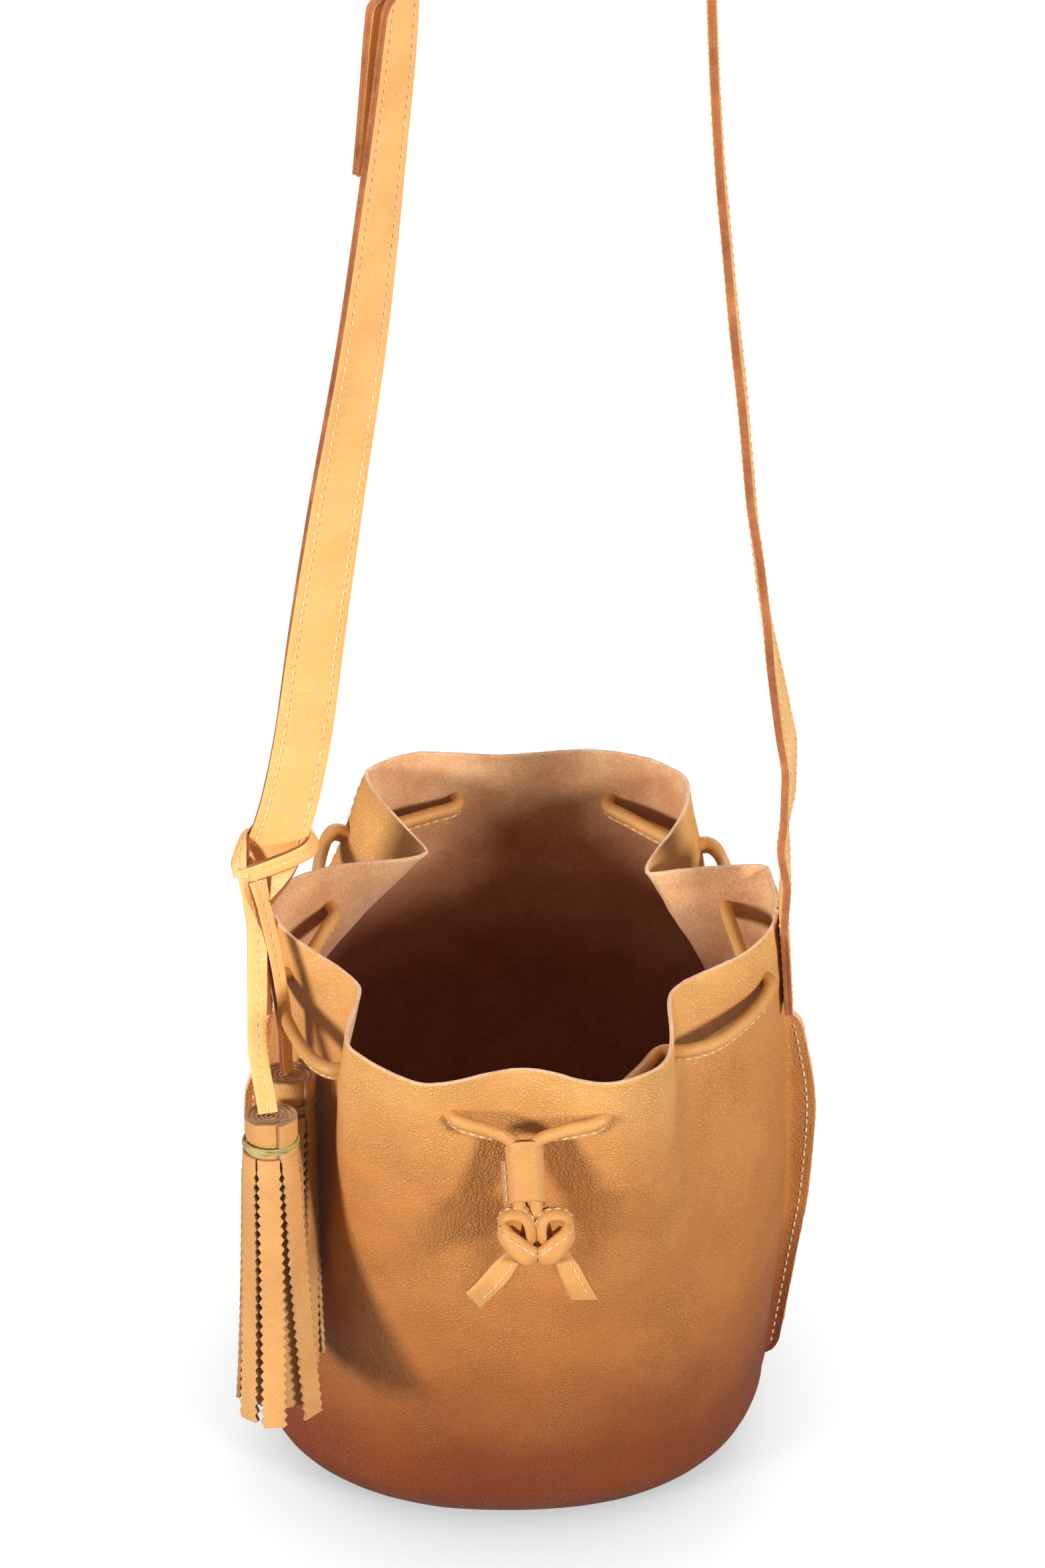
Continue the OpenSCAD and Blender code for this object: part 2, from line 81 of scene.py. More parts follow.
# ---------- sizes from the frame ----------

RIM_Z = node_box("front_panel")[1][2]
HOLE_DROP = 18.0
BEND_Z = joint_point("strap_swing")[2]
BUCKLE = joint_point("prong_swing")
STRAP_TOP = node_box("long_strap_outer")[1][2]
FRONT_TOP = joint_point("tassel_front_swing")
REAR_TOP = joint_point("tassel_rear_swing")
HITCH = sum(node_box("lace_hitch")) / 2

HIDE_T = 1.4           # thickness of the body's leather
EDGE_R = 29.0          # radius of the rounded bottom edge
WALL_LOW_Z = 1.3       # height of the wall's lower edge
BASE_GAP = 1.2         # from that edge in to the base's outline


# ---------- vectors and curves ----------

def unit(v):
    """The vector, or each row of vectors, at length one."""
    v = np.asarray(v, float)
    return v / np.linalg.norm(v, axis=-1, keepdims=True)


def mix(a, b, u):
    """The value the share u of the way from a to b."""
    return a + (b - a) * u


def ease(u):
    """Smooth step from 0 to 1."""
    u = np.clip(u, 0.0, 1.0)
    return u * u * (3 - 2 * u)


def turned(v, axis, angle):
    """v turned about a unit axis by an angle in degrees."""
    a = math.radians(angle)
    axis = np.asarray(axis, float)
    return v * math.cos(a) + np.cross(axis, v) * math.sin(a) + axis * (axis @ v) * (1 - math.cos(a))


def smooth_curve(knots):
    """A function that runs smoothly through knots [(x, value), ...] with no overshoot."""
    xs = np.array([k[0] for k in knots], float)
    ys = np.array([k[1] for k in knots], float)
    slopes = np.diff(ys) / np.diff(xs)
    tangents = np.zeros(len(xs))
    for i in range(1, len(xs) - 1):
        if slopes[i - 1] * slopes[i] > 0:
            tangents[i] = 2 * slopes[i - 1] * slopes[i] / (slopes[i - 1] + slopes[i])
    tangents[0], tangents[-1] = slopes[0], slopes[-1]

    def value(x):
        x = float(min(max(x, xs[0]), xs[-1]))
        i = min(max(bisect.bisect_right(xs, x) - 1, 0), len(xs) - 2)
        h = xs[i + 1] - xs[i]
        u = (x - xs[i]) / h
        a = ys[i] * (1 + 2 * u) * (1 - u) ** 2 + tangents[i] * h * u * (1 - u) ** 2
        return a + ys[i + 1] * u * u * (3 - 2 * u) + tangents[i + 1] * h * u * u * (u - 1)

    return value


def spline(points, steps):
    """Points of a Catmull-Rom curve through the given points, with so many steps to a span."""
    p = np.asarray(points, float)
    last = len(p) - 1

    def at(i):
        return p[min(max(i, 0), last)]

    out = []
    for i in range(last):
        a, b, c, d = at(i - 1), at(i), at(i + 1), at(i + 2)
        for j in range(steps):
            u = j / steps
            curve = 2 * b + (c - a) * u + (2 * a - 5 * b + 4 * c - d) * u ** 2
            out.append((curve + (3 * b - a - 3 * c + d) * u ** 3) / 2)
    out.append(p[-1])
    return np.array(out)


def headings(path):
    """Unit direction of a path at each of its points."""
    return unit(np.gradient(np.asarray(path, float), axis=0))


def evenly(path, spacing):
    """The path's points at an even spacing along its length."""
    path = np.asarray(path, float)
    length = np.concatenate([[0], np.cumsum(np.linalg.norm(np.diff(path, axis=0), axis=1))])
    marks = np.linspace(0, length[-1], max(2, int(round(length[-1] / spacing)) + 1))
    return np.stack([np.interp(marks, length, path[:, k]) for k in range(path.shape[1])], axis=1)


def wobble(point, size, offset=0.0):
    """Smooth noise between about -1 and 1 at a point, with features of the given size in mm."""
    return noise.noise(Vector((point[0] + offset, point[1] - offset, point[2] + 2 * offset)) / size)


# ---------- meshes ----------

def add_object(name, data):
    """A new object of the scene with the given mesh, light or camera."""
    piece = bpy.data.objects.new(name, data)
    bpy.context.scene.collection.objects.link(piece)
    return piece


def add_mesh(name, points, faces, materials, slots=None, sharp=50):
    """A mesh object from points in millimetres, smooth but for edges sharper than an angle."""
    mesh = bpy.data.meshes.new(name)
    mesh.from_pydata((np.asarray(points) * MM).tolist(), [], [list(map(int, f)) for f in faces])
    for material in materials:
        mesh.materials.append(material)
    mesh.polygons.foreach_set("use_smooth", [True] * len(mesh.polygons))
    if slots is not None:
        mesh.polygons.foreach_set("material_index", [int(s) for s in slots])
    mesh.update()
    mesh.set_sharp_from_angle(angle=math.radians(sharp))
    return add_object(name, mesh)


def grid_faces(rows, cols, wrap=False):
    """Quads of a grid of points stored row by row. wrap joins the last column to the first."""
    span = cols if wrap else cols - 1
    return [
        (j * cols + i, j * cols + (i + 1) % cols, (j + 1) * cols + (i + 1) % cols, (j + 1) * cols + i)
        for j in range(rows - 1) for i in range(span)
    ]


def apply_modifiers(piece):
    """Bakes the piece's modifiers into its mesh."""
    graph = bpy.context.evaluated_depsgraph_get()
    mesh = bpy.data.meshes.new_from_object(piece.evaluated_get(graph))
    piece.modifiers.clear()
    piece.data = mesh


def across_part(vectors, t):
    """The part of each vector at right angles to the directions t, at length one."""
    vectors = np.asarray(vectors, float)
    return unit(vectors - t * np.sum(vectors * t, axis=1, keepdims=True))


def frames_along(path, reference):
    """Side and down vectors at each point of a path. Down is the reference's part across the path."""
    t = headings(path)
    down = across_part(np.broadcast_to(reference, t.shape), t)
    return np.cross(t, down), down


def tube_faces(rows, cols):
    """Faces of a tube of rings stored one after the other, with both ends closed."""
    first_end = tuple(range(cols))[::-1]
    last_end = tuple((rows - 1) * cols + k for k in range(cols))
    return grid_faces(rows, cols, wrap=True) + [first_end, last_end]


def ring_faces(rows, cols):
    """Faces of a tube of rings stored one after the other, its last ring joined to the first."""
    last = (rows - 1) * cols
    closing = [(last + k, last + (k + 1) % cols, (k + 1) % cols, k) for k in range(cols)]
    return grid_faces(rows, cols, wrap=True) + closing


def sweep(path, section, reference, scale=None):
    """Points and faces of a closed tube with the given section [(side, down), ...] along a path."""
    side, down = frames_along(path, reference)
    sizes = np.ones(len(path)) if scale is None else scale
    points = [
        path[i] + (side[i] * a + down[i] * b) * sizes[i]
        for i in range(len(path)) for a, b in section
    ]
    return points, tube_faces(len(path), len(section))


class Bundle:
    """Collects many small shapes that become one mesh."""

    def __init__(self):
        self.points = []
        self.faces = []
        self.slots = []

    def add(self, points, faces, slots=None):
        base = len(self.points)
        self.points.extend(points)
        self.faces.extend(tuple(base + k for k in f) for f in faces)
        self.slots.extend(slots or [0] * len(faces))

    def piece(self, name, materials, sharp=50):
        return add_mesh(name, self.points, self.faces, materials, self.slots, sharp)


def belongs(piece, nodes, body=None, bend=None):
    """Ties a piece to its body, or only bakes the placement of a piece given a bend, and hides its CAD nodes.
    """
    if bend:
        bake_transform(piece)
    else:
        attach(piece, body)
    if nodes:
        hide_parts(*nodes)
    return piece


STITCH_PITCH = 4.1
STITCH_LIFT = (-0.30, 0.10, 0.24, 0.24, 0.10, -0.30)
STITCH_SIZE = (0.55, 0.95, 1.0, 1.0, 0.95, 0.55)


def stitch_row(bundle, path, normals, length=3.1, radius=0.33, pitch=STITCH_PITCH, skew=0.0):
    """Adds a row of separate stitches lying on a surface along a path with surface normals."""
    path = np.asarray(path, float)
    normals = np.asarray(normals, float)
    run = np.concatenate([[0], np.cumsum(np.linalg.norm(np.diff(path, axis=0), axis=1))])
    count = int(run[-1] / pitch)
    corners = 6

    def at(table, s):
        return np.array([np.interp(s, run, table[:, k]) for k in range(3)])

    for k in range(count):
        first = (k + 0.12) * pitch
        rings = []
        for j, (lift, size) in enumerate(zip(STITCH_LIFT, STITCH_SIZE)):
            u = j / (len(STITCH_LIFT) - 1)
            s = first + u * length
            here, ahead, n = at(path, s), at(path, s + 0.3), unit(at(normals, s))
            t = unit(ahead - here)
            side = np.cross(t, n)
            middle = here + n * lift + side * skew * (u - 0.5)
            rings.extend(
                middle + radius * size * (side * math.cos(a) + 0.75 * n * math.sin(a))
                for a in (2 * math.pi * c / corners for c in range(corners))
            )
        bundle.add(rings, tube_faces(len(STITCH_LIFT), corners))


# ---------- materials ----------

class Nodes:
    """Shorthand for building one material's node tree."""

    def __init__(self, name, colour):
        self.material = bpy.data.materials.new(name)
        self.material.use_nodes = True
        self.material.diffuse_color = colour
        self.tree = self.material.node_tree
        self.shader = self.tree.nodes["Principled BSDF"]
        self.where = self.node("ShaderNodeTexCoord").outputs["Object"]

    def node(self, kind, inputs=None, **settings):
        n = self.tree.nodes.new(kind)
        for key, value in settings.items():
            setattr(n, key, value)
        for key, value in (inputs or {}).items():
            self.link(value, n.inputs[key])
        return n

    def link(self, value, socket):
        if isinstance(value, bpy.types.NodeSocket):
            self.tree.links.new(value, socket)
        else:
            socket.default_value = value

    def stretched(self, scale):
        return self.node("ShaderNodeMapping", {"Vector": self.where, "Scale": scale}).outputs["Vector"]

    def noise(self, size, detail=3.0, rough=0.55, where=None):
        """Noise with features of a size in millimetres, between 0 and 1."""
        inputs = {"Vector": where or self.where, "Scale": 1 / (size * MM), "Detail": detail,
                  "Roughness": rough}
        return self.node("ShaderNodeTexNoise", inputs).outputs["Fac"]

    def cells(self, size, where=None, feature="F1"):
        """Distance to cell centres, or to cell borders, for cells of a size in millimetres."""
        inputs = {"Vector": where or self.where, "Scale": 1 / (size * MM)}
        return self.node("ShaderNodeTexVoronoi", inputs, feature=feature).outputs["Distance"]

    def math(self, operation, a, b):
        return self.node("ShaderNodeMath", {0: a, 1: b}, operation=operation).outputs[0]

    def ramp(self, value, low, high, out_low=0.0, out_high=1.0):
        inputs = {"Value": value, "From Min": low, "From Max": high, "To Min": out_low, "To Max": out_high}
        return self.node("ShaderNodeMapRange", inputs).outputs["Result"]

    def blend(self, share, a, b, kind="MIX"):
        n = self.node("ShaderNodeMix", data_type="RGBA", blend_type=kind)
        for socket, value in ((n.inputs[0], share), (n.inputs[6], a), (n.inputs[7], b)):
            self.link(value, socket)
        return n.outputs[2]

    def bump(self, height, strength, depth, under=None):
        """Bump of a depth in millimetres, on top of another bump's normal."""
        inputs = {"Height": height, "Strength": strength, "Distance": depth * MM}
        if under is not None:
            inputs["Normal"] = under
        return self.node("ShaderNodeBump", inputs).outputs["Normal"]

    def finish(self, **inputs):
        for key, value in inputs.items():
            self.link(value, self.shader.inputs[key.replace("_", " ")])
        return self.material


def painted_height_shade(m, base, stops):
    """base with painted shade, darker towards the bottom of the bag: stops are heights in mm and their tints.
    """
    height = m.node("ShaderNodeSeparateXYZ", {"Vector": m.where}).outputs["Z"]
    uneven = m.math("ADD", height, m.ramp(m.noise(45, 3), 0.2, 0.8, -0.012, 0.012))
    shade_tint = m.node("ShaderNodeValToRGB", {"Fac": m.math("MULTIPLY", uneven, 1 / (RIM_Z * MM))})
    marks = shade_tint.color_ramp.elements
    for _ in stops[2:]:
        marks.new(0.5)
    for mark, (z, colour) in zip(marks, stops):
        mark.position = z / RIM_Z
        mark.color = (*colour, 1)
    return m.blend(1.0, base, shade_tint.outputs["Color"], "MULTIPLY")


def linear(red, green, blue):
    """Linear colour of an sRGB colour given in 0 to 255."""
    def channel(c):
        c /= 255
        return c / 12.92 if c <= 0.04045 else ((c + 0.055) / 1.055) ** 2.4
    return (channel(red), channel(green), channel(blue), 1.0)


def shade(colour, share):
    """The colour times a share, at full opacity."""
    return tuple(min(1.0, c * share) for c in colour[:3]) + (1.0,)


def grain_leather(name, light, dark, pebble=1.3, depth=0.16, rough=0.5, creases=0.35, painted_shade=None):
    """Smooth side of vegetable-tanned leather: fine pebbles, soft creases, cloudy colour."""
    m = Nodes(name, light)
    cloud = m.noise(38, 4)
    mottle = m.noise(7, 4, 0.65)
    warp = m.node("ShaderNodeTexNoise", {"Vector": m.where, "Scale": 1 / (9 * MM), "Detail": 2.0})
    shift = m.node("ShaderNodeVectorMath", {0: warp.outputs["Color"], 1: (0.004, 0.004, 0.004)},
                   operation="MULTIPLY")
    bent = m.node("ShaderNodeVectorMath", {0: m.where, 1: shift.outputs[0]}, operation="ADD").outputs[0]
    pebbles = m.cells(pebble, bent)
    borders = m.ramp(m.cells(pebble, bent, "DISTANCE_TO_EDGE"), 0.0, 0.22)
    pores = m.ramp(m.noise(0.7, 2), 0.28, 0.42)
    wrinkles = m.noise(5.5, 5, 0.62, m.stretched((1.0, 1.0, 0.45)))
    patchy = m.ramp(m.noise(26, 3), 0.35, 0.68, 0.45, 1.0)
    base = m.blend(m.ramp(cloud, 0.3, 0.72), dark, light)
    base = m.blend(m.ramp(mottle, 0.35, 0.7, 0.0, 0.22), base, shade(dark, 0.78))
    pits = m.math("MULTIPLY", m.math("SUBTRACT", 1.0, borders), patchy)
    base = m.blend(m.math("MULTIPLY", pits, 0.30), base, shade(dark, 0.55))
    base = m.blend(m.ramp(pores, 0.0, 1.0, 0.16, 0.0), base, shade(dark, 0.45))
    # Painted shade by height, when given: darker towards the bottom of the bag.
    if painted_shade:
        base = painted_height_shade(m, base, painted_shade)
    soft = m.bump(wrinkles, creases, 0.9)
    dome = m.math("SUBTRACT", borders, m.math("MULTIPLY", pebbles, 0.35))
    grain = m.bump(m.math("MULTIPLY", dome, patchy), 0.75, depth, soft)
    fine = m.bump(pores, 0.35, depth * 0.5, grain)
    gloss = m.ramp(mottle, 0.3, 0.75, rough - 0.07, rough + 0.1)
    return m.finish(Base_Color=base, Roughness=gloss, Normal=fine, Specular_IOR_Level=0.34,
                    Coat_Weight=0.04, Coat_Roughness=0.35, Sheen_Weight=0.03, Sheen_Roughness=0.5)


def suede_leather(name, light, dark, fuzz=0.45, painted_shade=None):
    """Flesh side or raw edge of leather: matt, fibrous and slightly hairy."""
    m = Nodes(name, light)
    nap = m.noise(0.9, 5, 0.75)
    fibres = m.noise(1.6, 5, 0.7, m.stretched((1.0, 1.0, 3.0)))
    patches = m.noise(17, 4)
    base = m.blend(m.ramp(patches, 0.32, 0.7), dark, light)
    base = m.blend(m.ramp(nap, 0.35, 0.65, 0.0, 0.55), base, shade(dark, 0.55))
    base = m.blend(m.ramp(fibres, 0.5, 0.8, 0.0, 0.4), base, shade(light, 1.25))
    # Painted shade by height, when given: darker towards the bottom of the bag.
    if painted_shade:
        base = painted_height_shade(m, base, painted_shade)
    normal = m.bump(m.math("ADD", nap, m.math("MULTIPLY", fibres, 0.8)), fuzz, 0.35)
    return m.finish(Base_Color=base, Roughness=0.93, Normal=normal, Specular_IOR_Level=0.16,
                    Sheen_Weight=0.32, Sheen_Roughness=0.42)


def twisted_thread(name, light, dark, rough=0.62):
    """Twisted sewing thread with a faint spiral of fibres."""
    m = Nodes(name, light)
    strands = m.noise(0.35, 3, 0.6, m.stretched((1.6, 1.6, 0.7)))
    colour = m.blend(m.ramp(m.noise(5, 2), 0.3, 0.7), dark, light)
    colour = m.blend(m.ramp(strands, 0.35, 0.65, 0.35, 0.0), colour, dark)
    return m.finish(Base_Color=colour, Roughness=rough, Normal=m.bump(strands, 0.6, 0.12),
                    Sheen_Weight=0.15)


def worn_brass(name, light, dark):
    """Brushed brass with fine scratches and duller patches."""
    m = Nodes(name, light)
    scratches = m.noise(0.5, 3, 0.7, m.stretched((1.0, 0.12, 1.0)))
    patina = m.noise(6, 4)
    colour = m.blend(m.ramp(patina, 0.35, 0.7), dark, light)
    return m.finish(Base_Color=colour, Metallic=1.0, Roughness=m.ramp(patina, 0.3, 0.7, 0.2, 0.36),
                    Normal=m.bump(scratches, 0.22, 0.05))


# The hide's height stops paint shade: the wall darkens towards the bottom, where it turns under and away from
# the lamps.
HIDE = grain_leather("hide", linear(230, 170, 100), linear(214, 150, 82), 1.5, 0.34, creases=0.5, painted_shade=[
    (12, (0.24, 0.075, 0.01)), (50, (0.32, 0.135, 0.035)), (110, (0.60, 0.42, 0.27)),
    (205, (0.76, 0.63, 0.51)), (250, (0.93, 0.95, 0.92))])
# The suede's height stops paint the shade inside the bag: lit near the rim, darker below.
HIDE_SUEDE = suede_leather("hide_suede", linear(250, 208, 156), linear(220, 164, 114), fuzz=0.8, painted_shade=[
    (40, (0.66, 0.35, 0.36)), (150, (0.48, 0.24, 0.22)), (205, (0.68, 0.49, 0.45)), (226, (0.75, 0.61, 0.56)),
    (248, (0.92, 0.83, 0.79))])
HIDE_EDGE = suede_leather("hide_edge", linear(248, 208, 170), linear(216, 162, 120), 0.7)
STRAP = grain_leather("strap", linear(246, 192, 120), linear(234, 172, 98), 1.1, 0.1, 0.47, 0.2)
STRAP_SUEDE = suede_leather("strap_suede", linear(206, 160, 112), linear(172, 120, 78), 0.35)
STRAP_EDGE = suede_leather("strap_edge", linear(196, 122, 72), linear(140, 76, 44), 0.5)
CORD = grain_leather("cord", linear(214, 156, 88), linear(196, 136, 72), 1.0, 0.1, 0.5, 0.3)
TASSEL = grain_leather("tassel", linear(212, 158, 94), linear(194, 138, 78), 1.3, 0.12, 0.52, 0.3)
THREAD = twisted_thread("stitching", linear(236, 218, 182), linear(198, 170, 126))
WAXED = twisted_thread("waxed_thread", linear(186, 172, 104), linear(138, 124, 66), 0.5)
BRASS = worn_brass("brass", linear(214, 172, 96), linear(164, 120, 60))


# ---------- leather sheets ----------

SHEET_ROUND = ((0.22, 0.8), (0.5, 1.0), (0.78, 0.8))


def grid_normals(grid, flip=False):
    """Unit normals of a grid of points [row, column]."""
    along_rows = np.gradient(grid, axis=1)
    along_cols = np.gradient(grid, axis=0)
    n = unit(np.cross(along_rows, along_cols))
    return -n if flip else n


def border_of(rows, cols):
    """Grid places round the border of a sheet, and the place just inside each."""
    loop = [(0, i) for i in range(cols - 1)]
    loop += [(j, cols - 1) for j in range(rows - 1)]
    loop += [(rows - 1, i) for i in range(cols - 1, 0, -1)]
    loop += [(j, 0) for j in range(rows - 1, 0, -1)]
    inside = [(min(max(j, 1), rows - 2), min(max(i, 1), cols - 2)) for j, i in loop]
    return loop, inside


def sheet(grid, thickness, bulge=0.25, flip=False, fuzz=0.0):
    """Closed leather sheet under a grid of face points, with a rounded raw edge.

    Returns points, faces and slots: 0 the face, 1 the raw edge, 2 the back.
    """
    rows, cols = grid.shape[:2]
    normals = grid_normals(grid, flip)
    back = grid - normals * thickness
    loop, inside = border_of(rows, cols)
    points = [*grid.reshape(-1, 3), *back.reshape(-1, 3)]
    count = rows * cols
    faces, slots = [], []
    for face in grid_faces(rows, cols):
        faces.append(face[::-1] if flip else face)
        faces.append(tuple(count + k for k in (face if flip else face[::-1])))
        slots += [0, 2]
    rings = [[j * cols + i for j, i in loop]]
    for share, swell in SHEET_ROUND:
        ring = []
        for (j, i), (jn, i_n) in zip(loop, inside):
            p, n = grid[j, i], normals[j, i]
            out = p - grid[jn, i_n]
            out = unit(out - n * (out @ n))
            push = bulge * swell
            if fuzz:
                push += fuzz * wobble(p, 1.1) + fuzz * 0.8 * wobble(p, 3.7, 40)
            ring.append(len(points))
            points.append(p - n * thickness * share + out * push)
        rings.append(ring)
    rings.append([count + j * cols + i for j, i in loop])
    for low, high in zip(rings, rings[1:]):
        for k in range(len(loop)):
            k_next = (k + 1) % len(loop)
            face = (low[k], high[k], high[k_next], low[k_next])
            faces.append(face[::-1] if flip else face)
            slots.append(1)
    return points, faces, slots


def add_sheet(name, grid, thickness, materials, bulge=0.25, flip=False, fuzz=0.0):
    points, faces, slots = sheet(grid, thickness, bulge, flip, fuzz)
    return add_mesh(name, points, faces, materials, slots, 60)


# ---------- shape of the body ----------

BELLY_Z = 125.0
BASE_PIECE = (node_box("base_panel")[1] - node_box("base_panel")[0]) / 2
FOOT_INSET = EDGE_R - math.sqrt(EDGE_R ** 2 - (EDGE_R - WALL_LOW_Z) ** 2)
BASE_SHIFT = -sum(node_box("base_panel"))[0] / 2
BASE_HALF_D = BASE_PIECE[1] + FOOT_INSET + BASE_GAP
BELLY_HALF_W = BASE_PIECE[0] + FOOT_INSET + BASE_GAP + 5 * ((EDGE_R - BELLY_Z) / (RIM_Z - BELLY_Z)) ** 2
LOBE_RISE, SWELL_LOW_Z = 7.0, 90.0
SEAM_LOW_Z, SEAM_TOP_Z = EDGE_R, 207.0
# Folds of the gathered mouth: angle at the rim, depth, spread before and after, height where the fold
# has faded out, turn round the bag with each millimetre down from the rim
FOLDS = [
    (24.5, 42, 9.5, 28, 130, -0.12), (92, 10.5, 36, 30, 110, 0), (136.5, 47, 10.5, 43, 165, 0.35),
    (212, 24, 40, 19, 90, 0), (270, 14, 24, 24, 100, 0), (324, 26, 25, 38, 100, 0),
]
HOLES = [255.5, 225, 190.5, 162, 135.5, 105, 69, 41, 17.3, 349, 315.5, 288]
HOLE_R = 3.7
MOUTH_TOP_HALF_D = 89.0


def half_w(z):
    return BELLY_HALF_W - 5 * ((z - BELLY_Z) / (RIM_Z - BELLY_Z)) ** 2


def half_d(z):
    return mix(BASE_HALF_D, MOUTH_TOP_HALF_D, np.sin(np.radians(90 * np.minimum(1, (z - EDGE_R) / 190))))


def gather(z, low_z):
    """Share of a fold left at a height: none below low_z, all of it at the rim."""
    return np.maximum(0, (z - low_z) / (RIM_Z - low_z)) ** 1.25


def fold_depth(a, z):
    total = 0.0
    for angle, depth, before, after, low_z, slant in FOLDS:
        d = (a - angle - slant * (RIM_Z - z) + 540) % 360 - 180
        u = np.minimum(1, np.where(d < 0, -d / before, d / after))
        total = total + depth * gather(z, low_z) * (1 + np.cos(np.pi * u)) / 2
    return total


def hole_z(a):
    """Height of the drawcord hole at an angle: those at the back sit lower."""
    return RIM_Z - HOLE_DROP - 5.5 * max(0, math.sin(math.radians(a))) ** 2


def edge_step(z):
    """Inward step of the rounded bottom edge at a height."""
    low = np.clip(EDGE_R - z, 0, EDGE_R)
    return EDGE_R - np.sqrt(EDGE_R ** 2 - low ** 2)


def wall_radius(a, z):
    """Distance of the wall from the bag's middle line at an angle in degrees and a height."""
    a, z = np.asarray(a, float), np.asarray(z, float)
    above = np.maximum(z, EDGE_R)
    w, d = half_w(above) - edge_step(z), half_d(above) - edge_step(z)
    c, s = np.cos(np.radians(a)), np.sin(np.radians(a))
    squared = 2 + 0.22 * np.maximum(0, 1 - z / 150)
    oval = (np.abs(c / w) ** squared + np.abs(s / d) ** squared) ** (-1 / squared)
    return oval + LOBE_RISE * gather(z, SWELL_LOW_Z) * s ** 2 - fold_depth(a, z)


def wall_point(a, z):
    a, z = np.broadcast_arrays(np.asarray(a, float), np.asarray(z, float))
    r = wall_radius(a, z)
    shift = BASE_SHIFT * np.maximum(0, 1 - z / 110)
    return np.stack([r * np.cos(np.radians(a)) - shift, r * np.sin(np.radians(a)), z], axis=-1)


def wall_normal(a, z):
    return unit(np.cross(wall_point(a + 0.5, z) - wall_point(a - 0.5, z),
                         wall_point(a, z + 0.4) - wall_point(a, z - 0.4)))


SEAM_RIGHT = smooth_curve([(SEAM_LOW_Z, 5), (72, 6.5), (122, 9.5), (158, 11), (SEAM_TOP_Z, 6)])
SEAM_LEFT = smooth_curve([(SEAM_LOW_Z, 3), (122, 3.8), (158, 4.2), (SEAM_TOP_Z, 3.4)])


def seam_at(a, z):
    """Reach of a side seam's raw edge outside the wall, rounded off at both ends."""
    def round_off(u):
        return math.sqrt(1 - (1 - min(1, max(0, u))) ** 2)
    reach = (SEAM_RIGHT if math.cos(math.radians(a)) > 0 else SEAM_LEFT)(z)
    return max(0.3, reach * round_off((z - SEAM_LOW_Z) / 9) * round_off((SEAM_TOP_Z - z) / 9))


def wall_detail(p, a, z):
    """Small outward shifts of the body's leather: soft dents, seam puckers, drag lines at the holes."""
    loose = float(gather(z, SWELL_LOW_Z)) * 0.7 + 0.3
    shift = 2.0 * loose * wobble(p, 58) + 0.75 * loose * wobble(p, 23, 11)
    shift += 0.28 * wobble(p * np.array([1, 1, 0.5]), 9, 31) * loose
    seam_gap = abs(p[1])
    if seam_gap < 30 and z > 14:
        ripple = wobble(np.array([0, 40 * np.sign(p[0]), p[2]]), 7.5, 5) * 1.3
        shift += ripple * math.exp(-((seam_gap - 5) / 9) ** 2) * (0.8 if z < SEAM_TOP_Z else 0.3)
    for hole in HOLES:
        across = ((a - hole + 540) % 360 - 180) * 1.6
        away = math.hypot(across, z - hole_z(hole))
        if away < 30:
            shift += 0.7 * math.exp(-(away / 12) ** 2) * (1 if HOLES.index(hole) % 2 else -1)
    return shift


# ---------- body ----------

def body_rows():
    curve = [EDGE_R * (1 - math.cos(math.radians(d))) for d in range(24, 91, 6)]
    return np.array([WALL_LOW_Z, *curve, *np.arange(EDGE_R + 2, SEAM_TOP_Z + 12, 1.9),
                     *np.arange(220, RIM_Z, 1.6), RIM_Z])


FILLET = 3.2           # radius of the bend from the wall into a wide seam
SEAM_ROOM = 1.35       # width kept free for a seam's bend, in widths of the bend itself
WALL_STEP = 1.25       # angle between columns of the wall's mesh
RIM_BAND = 9.0         # height of the band below the rim whose cut edge is uneven


def bend_of(reach):
    """Radius of the bend from the wall into a seam of a given reach."""
    return min(FILLET, 0.25 + reach * 0.5)


def panel_grid(side):
    """Face points of half of the body's wall with its share of the side seams. side -1 is the front."""
    start = 180.0 if side < 0 else 0.0
    rows = []
    for z in body_rows():

        def corner(angle, forward):
            """Points from a seam's raw edge round into the wall."""
            reach = seam_at(angle, z)
            bend = bend_of(reach)
            tip = wall_point(angle, z)
            outward = np.array([np.sign(math.cos(math.radians(angle))), 0, 0])
            line = side * (0.1 + HIDE_T)
            pts = []
            for u in (1.0, 0.82, 0.62, 0.42, 0.2, 0.0):
                pts.append(tip + outward * mix(bend, max(reach, bend + 0.1), u) + BACK * line)
            for phi in (22.5, 45, 67.5, 90):
                c, s = math.cos(math.radians(phi)), math.sin(math.radians(phi))
                pts.append(tip + outward * bend * (1 - s) + BACK * (line + side * bend * (1 - c)))
            return pts if forward else pts[::-1]

        r = float(wall_radius(start, z))
        leads = [math.degrees((0.1 + HIDE_T + bend_of(seam_at(a, z))) / r) * SEAM_ROOM
                 for a in (start, start + 180)]
        near = mix(start + leads[0], start + 180 - leads[1], np.linspace(0, 1, int(180 / WALL_STEP)))
        wall = wall_point(near, z)
        normals = wall_normal(near, z)
        wall = np.array([p + n * wall_detail(p, a % 360, z) for p, n, a in zip(wall, normals, near)])
        rows.append(corner(start, True) + list(wall) + corner(start + 180, False))
    grid = np.array(rows)
    for row in grid:
        lift = (max(0.0, row[0][2] - RIM_Z + RIM_BAND) / RIM_BAND) ** 2
        for p in row:
            p[2] += lift * (0.9 * wobble(p * np.array([1, 1, 0]), 26, 3) - 0.6)
    return grid


